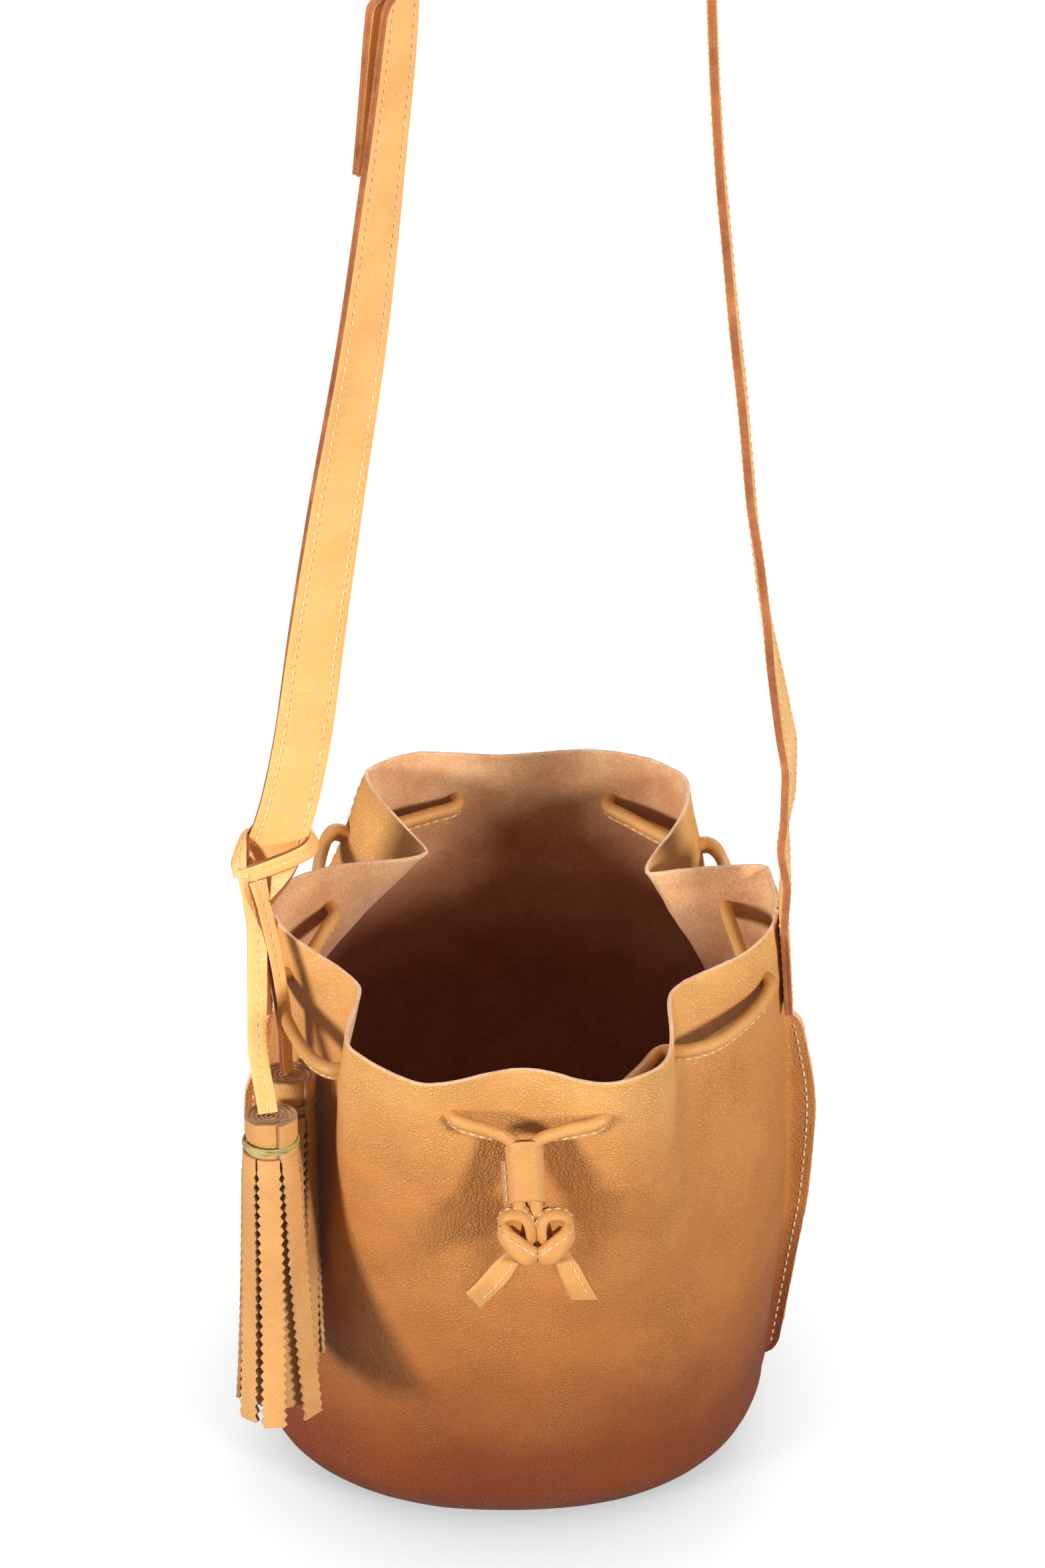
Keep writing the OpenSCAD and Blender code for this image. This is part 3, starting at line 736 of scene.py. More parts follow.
def cut(piece, tool):
    """Cuts the tool's shape out of a piece, whose new walls take the tool's material."""
    modifier = piece.modifiers.new("cut", "BOOLEAN")
    modifier.operation = "DIFFERENCE"
    modifier.solver = "EXACT"
    modifier.object = tool
    modifier.material_mode = "TRANSFER"
    apply_modifiers(piece)
    bpy.data.objects.remove(tool)
    piece.data.set_sharp_from_angle(angle=math.radians(60))


def disc(radius, corners):
    return [(radius * math.cos(2 * math.pi * k / corners), radius * math.sin(2 * math.pi * k / corners))
            for k in range(corners)]


def cut_holes(panel, side):
    """Cuts the drawcord's holes into the front (side -1) or back panel."""
    cutter = Bundle()
    for a in HOLES:
        if side * math.sin(math.radians(a)) > 0:
            centre, n = wall_point(a, hole_z(a)), wall_normal(a, hole_z(a))
            cutter.add(*sweep(np.array([centre - n * 7, centre + n * 7]), disc(HOLE_R, 24), -UP))
    cut(panel, cutter.piece("hole_cutter", [HIDE_EDGE]))


def build_panel(name, node, side):
    grid = panel_grid(side)
    panel = add_sheet(name, grid, HIDE_T, [HIDE, HIDE_EDGE, HIDE_SUEDE], 0.3, fuzz=0.35)
    cut_holes(panel, side)
    belongs(panel, [node], "bag")
    return grid


def build_base():
    """Oval base with a rounded edge, set inside the turned-in foot of the wall."""
    rings = []
    around = np.arange(0, 360, 3)
    middle = np.array([-BASE_SHIFT, 0, 0])
    outline = wall_point(around, np.full(len(around), WALL_LOW_Z))
    outline = (outline - middle) * np.array([1, 1, 0])
    outline *= (1 - BASE_GAP / np.linalg.norm(outline, axis=1))[:, None]
    for size, z in ((0.0, 0.9), (0.3, 0.8), (0.6, 0.6), (0.85, 0.25), (0.97, 0.05), (1.0, 0.6), (1.0, 1.4),
                    (0.985, 2.0), (0.9, 2.4), (0.6, 2.6), (0.3, 2.7), (0.0, 2.7)):
        rings.append(outline * size + middle + UP * z)
    points = [p for ring in rings for p in ring]
    base = add_mesh("base", points, grid_faces(len(rings), len(around), wrap=True), [HIDE])
    belongs(base, ["base_panel"], "bag")


def seam_stitches(grids):
    """Stitches of both side seams, 3 mm in from the raw edges, on the front and back faces."""
    bundle = Bundle()
    for grid, side in grids:
        for column in (0, -1):
            rows = [row for row in grid if SEAM_LOW_Z + 5 < row[0][2] < SEAM_TOP_Z - 2]
            outward = np.sign(rows[0][column][0])
            path = [row[column] - np.array([outward * 3.0, 0, 0]) for row in rows]
            stitch_row(bundle, path, [BACK * side] * len(path), 3.0, 0.36)
    belongs(bundle.piece("seam_stitches", [THREAD]), [], "bag")


grids = [(build_panel("body_front", "front_panel", -1), -1), (build_panel("body_back", "back_panel", 1), 1)]
build_base()
seam_stitches(grids)


# ---------- straps ----------

STRAP_W, PLY_T, PLY_GAP = 20.0, 1.5, 0.1
STRAP_T = 2 * PLY_T + PLY_GAP
FOOT_LOW_Z = 213.0
BUCKLE_X, HEEL_Z = BUCKLE[0], BUCKLE[2]
HEEL_R = 1.7
FRAME_H = 21.0
STRAP_RIGHT_X, STRAP_LEFT_X = 60.0, BUCKLE_X + 3.7
TAIL_Z = 590.0

# Places across a strap, as a share of its half width, and the height of its face there
STRAP_FACE = ((-1, -0.22), (-0.94, -0.06), (-0.85, 0.0), (-0.77, -0.05), (-0.70, -0.16), (-0.63, -0.05),
              (-0.5, 0.02), (0, 0.04), (0.5, 0.02), (0.63, -0.05), (0.70, -0.16), (0.77, -0.05),
              (0.85, 0.0), (0.94, -0.06), (1, -0.22))


def foot_x(a, z):
    """Distance of a sewn strap end from the middle of the bag, on the side at angle a."""
    widest = np.abs(wall_point(a + np.arange(-6, 7, 3), z)[:, 0]).max()
    return float(widest) + 0.5 + STRAP_T / 2


LEFT_X = smooth_curve([
    (RIM_Z, -foot_x(180, RIM_Z)), (264, 0.3 - foot_x(180, RIM_Z)), (286, -87), (308, -81.5),
    (340, -76), (386, -70.5), (447, -62.6), (520, -52.5), (590, -44.9), (640, -40),
    (672, BUCKLE_X), (690, BUCKLE_X)])
LEFT_TURN = smooth_curve([(261, 0), (298, 90), (340, 95), (400, 107), (540, 131), (590, 139), (658, 149),
                          (672, 180)])
RIGHT_X = smooth_curve([
    (RIM_Z, foot_x(0, RIM_Z)), (275, foot_x(0, RIM_Z) + 0.6), (292, 93.6), (308, 95), (326, 95), (346, 92.3),
    (384, 86.6), (420, 82.3), (456, 78.4), (491, 75.4), (525, 71.9), (560, 68.8), (593, 65.9), (642, 63),
    (720, STRAP_RIGHT_X)])
RIGHT_TURN = smooth_curve([(275, 0), (BEND_Z, -10), (346, -8), (375, -2), (405, 5), (425, 5), (450, 0)])
TAIL_AIR = smooth_curve([(TAIL_Z, 0.5), (658, 2.6), (676, 0.7), (HEEL_Z, 0.7)])


def left_path(z):
    return np.array([-foot_x(180, z) if z < RIM_Z else LEFT_X(z), 0, z])


def left_side(z):
    return turned(BACK, UP, LEFT_TURN(z))


def right_path(z):
    return np.array([foot_x(0, z) if z < RIM_Z else RIGHT_X(z), 0, z])


def tail_path(z):
    turn = LEFT_TURN(z) - 180
    return left_path(z) + turned(-ACROSS, UP, turn) * (STRAP_T + TAIL_AIR(z))


def ribbon(path, sides, offset, profile, width):
    """Grid of a strip's face at a distance from its path along the strip's normal."""
    path = np.asarray(path, float)
    t = headings(path)
    w = across_part(sides, t)
    n = np.cross(w, t)
    away = 1 if offset > 0 else -1
    columns = [path + w * (share * width / 2) + n * (offset + away * height) for share, height in profile]
    return np.stack(columns, axis=1), w, n


STRAP_LEATHER = [STRAP, STRAP_EDGE, STRAP_SUEDE]
FACE_OFF = STRAP_T / 2
EDGE_STITCH_INSET = 3.0


def ply(name, path, sides, offset):
    """One leather layer of a strap. offset is the distance of its face from the strap's middle."""
    grid = ribbon(path, sides, offset, STRAP_FACE, STRAP_W)[0]
    return add_sheet(name, grid, PLY_T, STRAP_LEATHER, 0.14, flip=offset < 0, fuzz=0.06)


def edge_rows(bundle, path, sides, offset):
    """Stitch rows along both edges of a strap's face."""
    w, n = ribbon(path, sides, offset, ((0, 0),), STRAP_W)[1:]
    face = np.asarray(path) + n * offset
    normals = n if offset > 0 else -n
    for s in (-1, 1):
        row = face + w * s * (STRAP_W / 2 - EDGE_STITCH_INSET) - normals * 0.12
        stitch_row(bundle, row, normals, 2.9, 0.3)


# The straps' hinge lies along a stretch of leather, from its lowest to its highest point; pieces given it are
# only baked in place
STRAP_BEND = ("bag", "strap", (0, 0, (BEND_Z - 17) * MM), (0, 0, (BEND_Z + 26) * MM))


def slot_cutter(low, high):
    corners = [(x, y, z) for z in (low[2], high[2]) for y in (low[1], high[1]) for x in (low[0], high[0])]
    faces = [(0, 2, 3, 1), (4, 5, 7, 6), (0, 1, 5, 4), (2, 6, 7, 3), (0, 4, 6, 2), (1, 3, 7, 5)]
    return add_mesh("slot_cutter", corners, faces, [STRAP_EDGE])


def left_strap():
    zs = np.concatenate([np.arange(FOOT_LOW_Z, 256, 2.6), np.arange(257, 345, 1.6),
                         np.arange(346, HEEL_Z - 8, 4.0), [HEEL_Z - 6.5, HEEL_Z - 5.2]])
    path = np.array([left_path(z) for z in zs])
    sides = np.array([left_side(z) for z in zs])
    lining = ply("left_strap_lining", path, sides, FACE_OFF)
    belongs(lining, ["strap_foot_left_lining", "short_strap_lining"], bend=STRAP_BEND)

    grid = ribbon(path, sides, -FACE_OFF, STRAP_FACE, STRAP_W)[0]
    bar = np.array([BUCKLE_X, 0, HEEL_Z])
    wrap_r = HEEL_R + 0.2 + 1.55
    turns = []
    for phi in range(-38, 224, 12):
        a = math.radians(phi)
        middle = bar + ACROSS * math.cos(a) * wrap_r + UP * math.sin(a) * wrap_r
        turns.append([middle - BACK * share * STRAP_W / 2 for share, _ in STRAP_FACE])
    end = bar + np.array([-FACE_OFF - 0.25, 0, -5.0])
    turns.append([end - BACK * share * STRAP_W / 2 for share, _ in STRAP_FACE])
    outer = add_sheet("left_strap_outer", np.concatenate([grid, turns]), PLY_T, STRAP_LEATHER,
                      0.14, True, 0.06)
    cut(outer, slot_cutter(bar + np.array([-8, -2.2, -4]), bar + np.array([8, 2.2, 6])))
    belongs(outer, ["strap_foot_left_outer", "short_strap_outer"], bend=STRAP_BEND)
    return path, sides


def long_path():
    buckle_run = spline([
        (STRAP_LEFT_X, 0, HEEL_Z + FRAME_H + 6), (STRAP_LEFT_X, 0, HEEL_Z + FRAME_H - 2),
        (BUCKLE_X - 1.6, 0, HEEL_Z + 9.5), (BUCKLE_X - 5.6, 0, HEEL_Z + 1.5), (BUCKLE_X - 5.6, 0, HEEL_Z - 4),
        (BUCKLE_X - 3.9, 0, HEEL_Z - 11)], 6)
    arch_r, arch_x = (STRAP_RIGHT_X - STRAP_LEFT_X) / 2, (STRAP_RIGHT_X + STRAP_LEFT_X) / 2
    arch_z = STRAP_TOP - arch_r - FACE_OFF
    rising = np.concatenate([np.arange(FOOT_LOW_Z, 256, 2.6), np.arange(257, 345, 2.0),
                             np.arange(346, 746, 5.0)])
    up = [right_path(z) for z in rising]
    arch = [(arch_x + arch_r * math.cos(math.radians(d)), 0, arch_z + arch_r * math.sin(math.radians(d)))
            for d in range(0, 181, 5)]
    tail_zs = np.linspace(HEEL_Z - 16, TAIL_Z, 34)
    path = np.array([*up, *arch, *buckle_run, *[tail_path(z) for z in tail_zs]])
    sides = np.array([turned(BACK, UP, RIGHT_TURN(z)) for z in rising]
                     + [BACK] * (len(arch) + len(buckle_run))
                     + [turned(BACK, UP, LEFT_TURN(z) - 180) for z in tail_zs])
    return path, sides


def long_strap():
    path, sides = long_path()
    bar = np.array([BUCKLE_X, 0, HEEL_Z])
    for name, slot_name, offset, nodes in (
            ("long_strap_outer", "strap", FACE_OFF,
             ["strap_foot_right_outer", "long_strap_outer"]),
            ("long_strap_lining", "strap_lining", -FACE_OFF,
             ["strap_foot_right_lining", "long_strap_lining"])):
        layer = ply(name, path, sides, offset)
        cut(layer, slot_cutter(bar + np.array([-12, -2.3, 0]), bar + np.array([4, 2.3, 15])))
        belongs(layer, nodes, bend=STRAP_BEND)
    return path, sides


def strap_stitches(name, path, sides, foot_sign):
    """Edge stitching on both faces, and the cross rows that hold the strap's foot to the bag."""
    bundle = Bundle()
    for offset in (FACE_OFF, -FACE_OFF):
        edge_rows(bundle, path[1:], sides[1:], offset)
    for z in (FOOT_LOW_Z + 3.5, RIM_Z - 5):
        x = foot_sign * (foot_x(90 - 90 * foot_sign, z) + FACE_OFF)
        row = [np.array([x, y, z]) for y in np.linspace(-7, 7, 6)]
        stitch_row(bundle, row, [ACROSS * foot_sign] * len(row), 2.8, 0.32, 3.6)
    belongs(bundle.piece(name, [THREAD]), [], bend=STRAP_BEND)


strap_stitches("left_strap_stitches", *left_strap(), -1)
strap_stitches("long_strap_stitches", *long_strap(), 1)


# ---------- buckle ----------

def closed_sweep(path, section, reference):
    """Closed loop of the given section along a closed path."""
    path = np.asarray(path, float)
    t = unit(np.roll(path, -1, axis=0) - np.roll(path, 1, axis=0))
    down = across_part(np.broadcast_to(reference, t.shape), t)
    side = np.cross(t, down)
    points = [p + u * a + v * b for p, u, v in zip(path, side, down) for a, b in section]
    return points, ring_faces(len(path), len(section))


def rounded_loop(half_u, half_v, radius):
    """Points of a rounded rectangle in its own plane."""
    out = []
    for quarter, (su, sv) in enumerate(((1, 1), (-1, 1), (-1, -1), (1, -1))):
        for k in range(9):
            a = math.radians(90 * (quarter + k / 8))
            out.append((su * (half_u - radius) + radius * math.cos(a),
                        sv * (half_v - radius) + radius * math.sin(a)))
    return out


def buckle():
    bar = np.array([BUCKLE_X, 0, HEEL_Z])
    bar_half = STRAP_W / 2 + 2.6
    middle = bar + UP * FRAME_H / 2
    loop = [middle + BACK * u + UP * v for u, v in rounded_loop(bar_half, FRAME_H / 2, 2.6)]
    frame_piece = add_mesh("buckle_frame_ring", *closed_sweep(loop, disc(HEEL_R, 20), ACROSS), [BRASS])
    belongs(frame_piece, ["buckle_frame"], "strap")

    prong_r = 1.1
    eye = HEEL_R + 0.12 + prong_r
    path = [bar + ACROSS * eye * math.cos(math.radians(d)) + UP * eye * math.sin(math.radians(d))
            for d in range(-200, 131, 15)]
    start = path[-1]
    tip = bar + np.array([-HEEL_R - prong_r - 0.3, 0, FRAME_H + 2.4])
    path += [mix(start, tip, u) + ACROSS * 0.6 * math.sin(math.pi * u)
             for u in (0.15, 0.35, 0.55, 0.75, 0.92, 1)]
    sizes = [1.0] * (len(path) - 3) + [0.95, 0.88, 0.55]
    prong = add_mesh("buckle_prong_pin", *sweep(path, disc(prong_r, 14), BACK, sizes), [BRASS])
    belongs(prong, ["buckle_prong"], "buckle_prong")


def keeper():
    """Leather loop, its two ends meeting at a back corner."""
    low, high = node_box("strap_keeper")
    middle = (low + high) / 2
    half = (high - low) / 2
    loop = rounded_loop(half[0], half[1], 1.8)
    loop = [loop[(k + 4) % len(loop)] for k in range(len(loop) + 1)]
    path = evenly([middle + ACROSS * u + BACK * v for u, v in loop], 0.8)
    profile = [(s, 0.0) for s in (-1, -0.85, -0.4, 0, 0.4, 0.85, 1)]
    grid = ribbon(path, [UP] * len(path), 0.01, profile, high[2] - low[2])[0]
    flip = bool((grid_normals(grid)[0, 3] @ (grid[0, 3] - middle)) < 0)
    piece = add_sheet("keeper_loop", grid, 1.3, STRAP_LEATHER, 0.12, flip=flip)
    belongs(piece, ["strap_keeper"], "strap_keeper")


buckle()
keeper()


# ---------- drawcord ----------

CORD_R = 2.35
CORD_OFF = 2.5 + 1.7
FLANGE_HALF = 0.75
CORD_STITCH_DOWN = 2.35
SLEEVE_LEN = 26.0
SLEEVE_DOWN = unit([0.06, -math.sin(math.radians(25)), -math.cos(math.radians(25))])
SLEEVE_TOP_Z = RIM_Z - HOLE_DROP - 8
SLEEVE_TOP = np.array([1.5, -float(wall_radius(270, SLEEVE_TOP_Z)) - 8.7, SLEEVE_TOP_Z])
SLEEVE_END = SLEEVE_TOP + SLEEVE_DOWN * SLEEVE_LEN
PAIR_OFF = 2.6
SLACK_OUT, SLACK_DOWN, SLACK_INSIDE = 3.6, 2.6, 0.6
KNOT_DOWN, KNOT_OUT, KNOT_SHIFT = 8.2, 6.4, 2.4


def cord_section():
    """Folded strip of leather: a round roll above, a flat sewn flange below, as (side, down) points."""
    points = [(FLANGE_HALF * 0.6, 3.55), (FLANGE_HALF, 3.35), (FLANGE_HALF, 2.3)]
    for phi in range(-58, 239, 18):
        points.append((CORD_R * math.cos(math.radians(phi)), -1.15 - CORD_R * math.sin(math.radians(phi))))
    return points + [(-FLANGE_HALF, 2.3), (-FLANGE_HALF, 3.35), (-FLANGE_HALF * 0.6, 3.55)]


SECTION = cord_section()
RAW_SIDES = (0, len(SECTION) - 2, len(SECTION) - 1)


def cord_mesh(bundle, path, downs):
    """Adds a stretch of cord: slot 0 grain, slot 1 the raw edges of its flange."""
    points, faces = sweep(path, SECTION, downs)
    sides = (len(path) - 1) * len(SECTION)
    bundle.add(points, faces, [int(k < sides and k % len(SECTION) in RAW_SIDES) for k in range(len(faces))])


def cord_thread(bundle, path, downs):
    """Adds the stitches on both sides of a cord's flange."""
    side, down = frames_along(path, downs)
    for s in (1, -1):
        stitch_row(bundle, path + down * CORD_STITCH_DOWN + side * s * FLANGE_HALF, side * s, 2.6, 0.26, 3.6)


def cord_outside(a):
    return wall_point(a, hole_z(a)) + wall_normal(a, hole_z(a)) * CORD_OFF


def cord_inside(a):
    return wall_point(a, hole_z(a)) - wall_normal(a, hole_z(a)) * (HIDE_T + CORD_OFF)


def drawcord():
    """The cord's run through all the holes, in and out by turns."""
    knots = []
    last = len(HOLES) - 1
    for i, a in enumerate(HOLES):
        from_in = i % 2 == 1
        start, end = (cord_inside(a), cord_outside(a)) if from_in else (cord_outside(a), cord_inside(a))
        if i == 0:
            start = mix(start, end, 0.5)
        if i == last:
            end = mix(start, end, 0.5)
        knots += [start, end]
        if i < last:
            b = HOLES[i + 1]
            onward = cord_outside(b) if from_in else cord_inside(b)
            away = unit((end + onward) * np.array([1, 1, 0]))
            slack = away * SLACK_OUT - UP * SLACK_DOWN if from_in else -UP * SLACK_INSIDE
            knots += [mix(end, onward, u) + slack for u in (0.28, 0.72)]
    path = evenly(spline(knots, 8), 1.3)
    downs = np.tile(-UP, (len(path), 1))
    body, thread = Bundle(), Bundle()
    cord_mesh(body, path, downs)
    cord_thread(thread, path, downs)
    belongs(body.piece("drawcord_run", [CORD, STRAP_EDGE]), ["drawcord"], "bag")
    belongs(thread.piece("drawcord_stitches", [THREAD]), [], "bag")


# A knot's course: distances outward, down and forward from its middle, and the strip's size there
KNOT = [
    (-3.6, -9.0, -0.6, 0.75), (-3.4, -3.0, -1.6, 0.75), (-2.0, 2.6, -2.4, 0.75), (1.8, 3.2, -3.0, 0.75),
    (4.6, -0.4, -3.0, 0.75), (5.4, -4.8, -0.2, 0.78), (4.2, -8.0, 1.8, 0.8), (0.7, -9.2, 2.8, 0.82),
    (-3.2, -7.8, 3.2, 0.82), (-4.8, -3.4, 3.0, 0.82), (-4.4, 1.0, 2.2, 0.8), (-2.4, 2.6, 0.4, 0.75),
    (2.0, 0.0, -0.6, 0.8), (5.0, -3.0, 0.6, 1.0), (4.4, -0.8, 3.0, 1.15), (1.6, 1.8, 4.6, 1.2),
    (-1.6, 4.6, 5.0, 1.2), (-4.4, 6.6, 3.6, 1.15), (-5.8, 6.4, 0.4, 1.0), (-3.6, 5.6, -3.0, 0.9),
    (0.4, 6.8, -3.8, 0.9), (3.2, 10.0, -2.8, 0.85),
]


def flat_tail(bundle, thread, path, widths):
    """Flat double tail of a cord end with a sewn line along it."""
    path = evenly(spline(path, 8), 0.8)
    count = len(path)
    widths = np.interp(np.linspace(0, 1, count), [0, 0.3, 1], widths)
    t = headings(path)
    w = across_part([unit(ACROSS + UP * 0.25)] * count, t)
    n = np.cross(w, t)
    profile = ((-1, 0.5), (-0.95, 0.9), (-0.8, 1.15), (-0.55, 1.2), (-0.2, 0.95), (0.3, 0.8), (0.8, 0.75),
               (1, 0.55))
    section = [*profile] + [(s, -h) for s, h in reversed(profile)]
    points = []
    for i in range(count):
        skew = t[i] * 2.2 * (max(0, i - count + 8) / 8)
        points.extend(path[i] + w[i] * s * widths[i] / 2 + n[i] * h + skew * s for s, h in section)
    edges = (len(profile) - 1, len(section) - 1)
    slots = [int(k % len(section) in edges) for k in range((count - 1) * len(section))] + [0, 1]
    bundle.add(points, tube_faces(count, len(section)), slots)
    for s in (1, -1):
        line = path + w * (widths[:, None] * 0.24) + n * s * 0.78
        stitch_row(thread, line[4:], (n * s)[4:], 2.3, 0.24, 3.3)


def cord_end(name, s, hole, tip, nodes):
    """One end of the drawcord: from its front hole through the sleeve to its knot and flat tail."""
    body, thread = Bundle(), Bundle()
    out = cord_outside(hole)
    inward = -s * ACROSS
    entry = SLEEVE_TOP + ACROSS * s * PAIR_OFF
    run = SLEEVE_END + ACROSS * s * PAIR_OFF
    eye, normal = wall_point(hole, hole_z(hole)), wall_normal(hole, hole_z(hole))
    mouth = eye + normal * 2.2 + inward * 1.4
    leg = spline([eye - normal * 3.4 - inward * 2.2, mouth, mix(mouth, entry, 0.5) + UP * 0.9,
                  entry - SLEEVE_DOWN * 0.8 - inward * 1.6, entry + SLEEVE_DOWN * 5, run], 12)
    leg = evenly(leg, 1.1)
    u = np.clip(np.linspace(-0.6, 1.5, len(leg)), 0, 1)[:, None]
    downs = unit(-UP * (1 - u) + unit(-ACROSS * s * 0.4 + BACK) * u * 1.2)
    shown = int(len(leg) * 0.6)
    cord_mesh(body, leg, downs)
    cord_thread(thread, leg[:shown], downs[:shown])

    middle = SLEEVE_END + SLEEVE_DOWN * KNOT_DOWN + ACROSS * (s * KNOT_OUT + KNOT_SHIFT)
    front = np.cross(SLEEVE_DOWN, ACROSS)
    course = [(*(middle + ACROSS * s * o + SLEEVE_DOWN * d + front * f), size) for o, d, f, size in KNOT]
    course = [(*(run - SLEEVE_DOWN * 6), 0.7), (*(run - SLEEVE_DOWN * 4), 0.7), *course]
    course = evenly(spline(course, 8), 0.8)
    course, sizes = course[:, :3], course[:, 3]
    core = middle + SLEEVE_DOWN * np.clip((course - middle) @ SLEEVE_DOWN, -3, 4)[:, None]
    outward = unit(course - core + front * 1.6 * np.sign((course - middle) @ front + 0.3)[:, None])
    flat = [(3.4 * x, 1.9 * y) for x, y in disc(1, 20)]
    body.add(*sweep(course, flat, outward, sizes))
    side, face = frames_along(course, outward)
    stitch_row(thread, course + (face * 1.75 + side * s * 1.4) * sizes[:, None], face, 2.3, 0.24, 3.3)
    flat_tail(body, thread, [course[-4], mix(course[-1], tip, 0.45) - BACK * 1.0, tip], (5.4, 8.0, 9.2))
    bend = ("bag", "cord_ends", tuple(out * MM), tuple(entry * MM))
    belongs(body.piece(name, [CORD, STRAP_EDGE]), nodes, bend=bend)
    belongs(thread.piece(name + "_stitches", [THREAD]), [], bend=bend)


SLEEVE_HALF_WIDE, SLEEVE_HALF_DEEP, SLEEVE_WALL = 6.7, 4.9, 1.4
TOP_ARCH, BOTTOM_ARCH = 2.4, 3.6
FLANGE_TOP, FLANGE_BOTTOM = 6.5, 24.0


def sleeve():
    """Open leather tube round both cords, its lapped flange sewn at the back left."""
    t = SLEEVE_DOWN
    wide = unit(ACROSS - t * (ACROSS @ t))
    forward = np.cross(t, wide)
    count, rows = 48, 22

    def ring(inset, along):
        """Points round the tube, inset into its thickness, its ends arched up."""
        pts = []
        for k in range(count):
            c, s = math.cos(2 * math.pi * k / count), math.sin(2 * math.pi * k / count)
            rise = BOTTOM_ARCH * abs(s) if along > 0.5 else TOP_ARCH * max(0.0, s)
            pts.append(SLEEVE_TOP + t * (along * SLEEVE_LEN - rise * abs(2 * along - 1))
                       + wide * (SLEEVE_HALF_WIDE - inset) * c + forward * (SLEEVE_HALF_DEEP - inset) * s)
        return pts

    rings = [ring(0.2 if j in (0, rows) else 0.0, u) for j, u in enumerate(np.linspace(0, 0.86, rows + 1))]
    rings += [ring(SLEEVE_WALL, u) for u in np.linspace(0.89, 0, rows + 1)]
    body, thread = Bundle(), Bundle()
    body.add([p for r in rings for p in r], [f[::-1] for f in ring_faces(len(rings), count)],
             [0] * (rows * count) + [1] * count + [2] * (rows * count) + [1] * count)
    for layer in (-1, 1):
        body.add(*sheet(np.array([
            [SLEEVE_TOP + t * u - wide * (5.6 + v * 2.5) - forward * (1.6 + layer * 0.55 + 1.2 * v)
             for v in np.linspace(0, 1, 6)] for u in np.linspace(FLANGE_TOP, FLANGE_BOTTOM, 20)
        ]), 1.0, 0.12, flip=layer > 0))
    line = [SLEEVE_TOP + t * u - wide * 7.2 - forward * 1.5
            for u in np.linspace(FLANGE_TOP + 0.5, FLANGE_BOTTOM, 12)]
    stitch_row(thread, line, [forward] * len(line), 2.9, 0.28, 3.9)
    belongs(body.piece("cord_sleeve_tube", [CORD, STRAP_EDGE, STRAP_SUEDE]), ["cord_sleeve"],
            "cord_sleeve")
    belongs(thread.piece("cord_sleeve_stitches", [THREAD]), [], "cord_sleeve")


drawcord()
cord_end("cord_left", -1, HOLES[0], np.array([-16.5, -110, 169.5]), ["cord_legs", "cord_end_left"])
cord_end("cord_right", 1, HOLES[-1], np.array([22.8, -110, 170]), ["cord_legs", "cord_end_right"])
sleeve()


# ---------- lace ----------

LACE_W, LACE_PLY = 7.0, 0.95
LACE_OFF = LACE_PLY + 0.05
LACE_FACE = ((-1, -0.2), (-0.9, 0.0), (-0.5, 0.03), (-0.14, -0.02), (0, -0.12), (0.14, -0.02), (0.5, 0.03),
             (0.9, 0.0), (1, -0.2))
HITCH_TILT = 27.0
HITCH_HALF_W, HITCH_HALF_D = 15.2, 8.6


def lace(body, thread, path, sides, width=LACE_W, spacing=1.2):
    """Adds a stretch of lace: two thin layers sewn together along the middle."""
    path, sides = np.asarray(path, float), np.asarray(sides, float)
    both = evenly(np.concatenate([path, sides], axis=1), spacing)
    path, sides = both[:, :3], both[:, 3:]
    for offset in (LACE_OFF, -LACE_OFF):
        grid, _, n = ribbon(path, sides, offset, LACE_FACE, width)
        body.add(*sheet(grid, LACE_PLY, 0.12, flip=offset < 0, fuzz=0.06))
        normals = n if offset > 0 else -n
        stitch_row(thread, path + normals * (LACE_OFF - 0.1), normals, 2.7, 0.26, 3.7, skew=0.5)


def hitch():
    """Lace wound round the strap: a tilted band, and a second turn from the back round the left edge."""
    body, thread = Bundle(), Bundle()
    middle = np.array([LEFT_X(HITCH[2]) + 0.8, 0, HITCH[2]])
    tilt = math.radians(HITCH_TILT)
    run = np.array([math.cos(tilt), 0, math.sin(tilt)])
    axis = np.array([-math.sin(tilt), 0, math.cos(tilt)])
    band, widths = [], []
    for k in range(0, 361, 9):
        a = math.radians(k)
        side = math.sin(a)
        rise = 2.5 * side ** 2 if side < 0 else 0.0
        band.append(middle + run * HITCH_HALF_W * math.cos(a) + UP * rise
                    + BACK * HITCH_HALF_D * math.copysign(abs(side) ** 0.7, side))
        widths.append(axis)
    lace(body, thread, band, widths, width=LACE_W - 0.4, spacing=1.4)
    turn = spline([middle + np.array(p) for p in (
        (6, 5.4, 6.5), (-4, 5.8, 7.5), (-9.6, 4.2, 6.5), (-11.4, 0.0, 3.5), (-12.2, -4.4, -0.5),
        (-11.6, -6.8, -5.0))], 8)
    t = headings(turn)
    inward = unit((middle - turn) * np.array([1, 1, 0]))
    facing = inward + BACK * np.interp(np.linspace(0, 1, len(turn)), [0, 0.45, 1], [0, 0.8, 1.6])[:, None]
    lace(body, thread, turn, np.cross(t, facing), width=LACE_W - 0.4)
    belongs(body.piece("lace_hitch_band", STRAP_LEATHER), ["lace_hitch"], "bag")
    belongs(thread.piece("lace_hitch_stitches", [THREAD]), [], "bag")


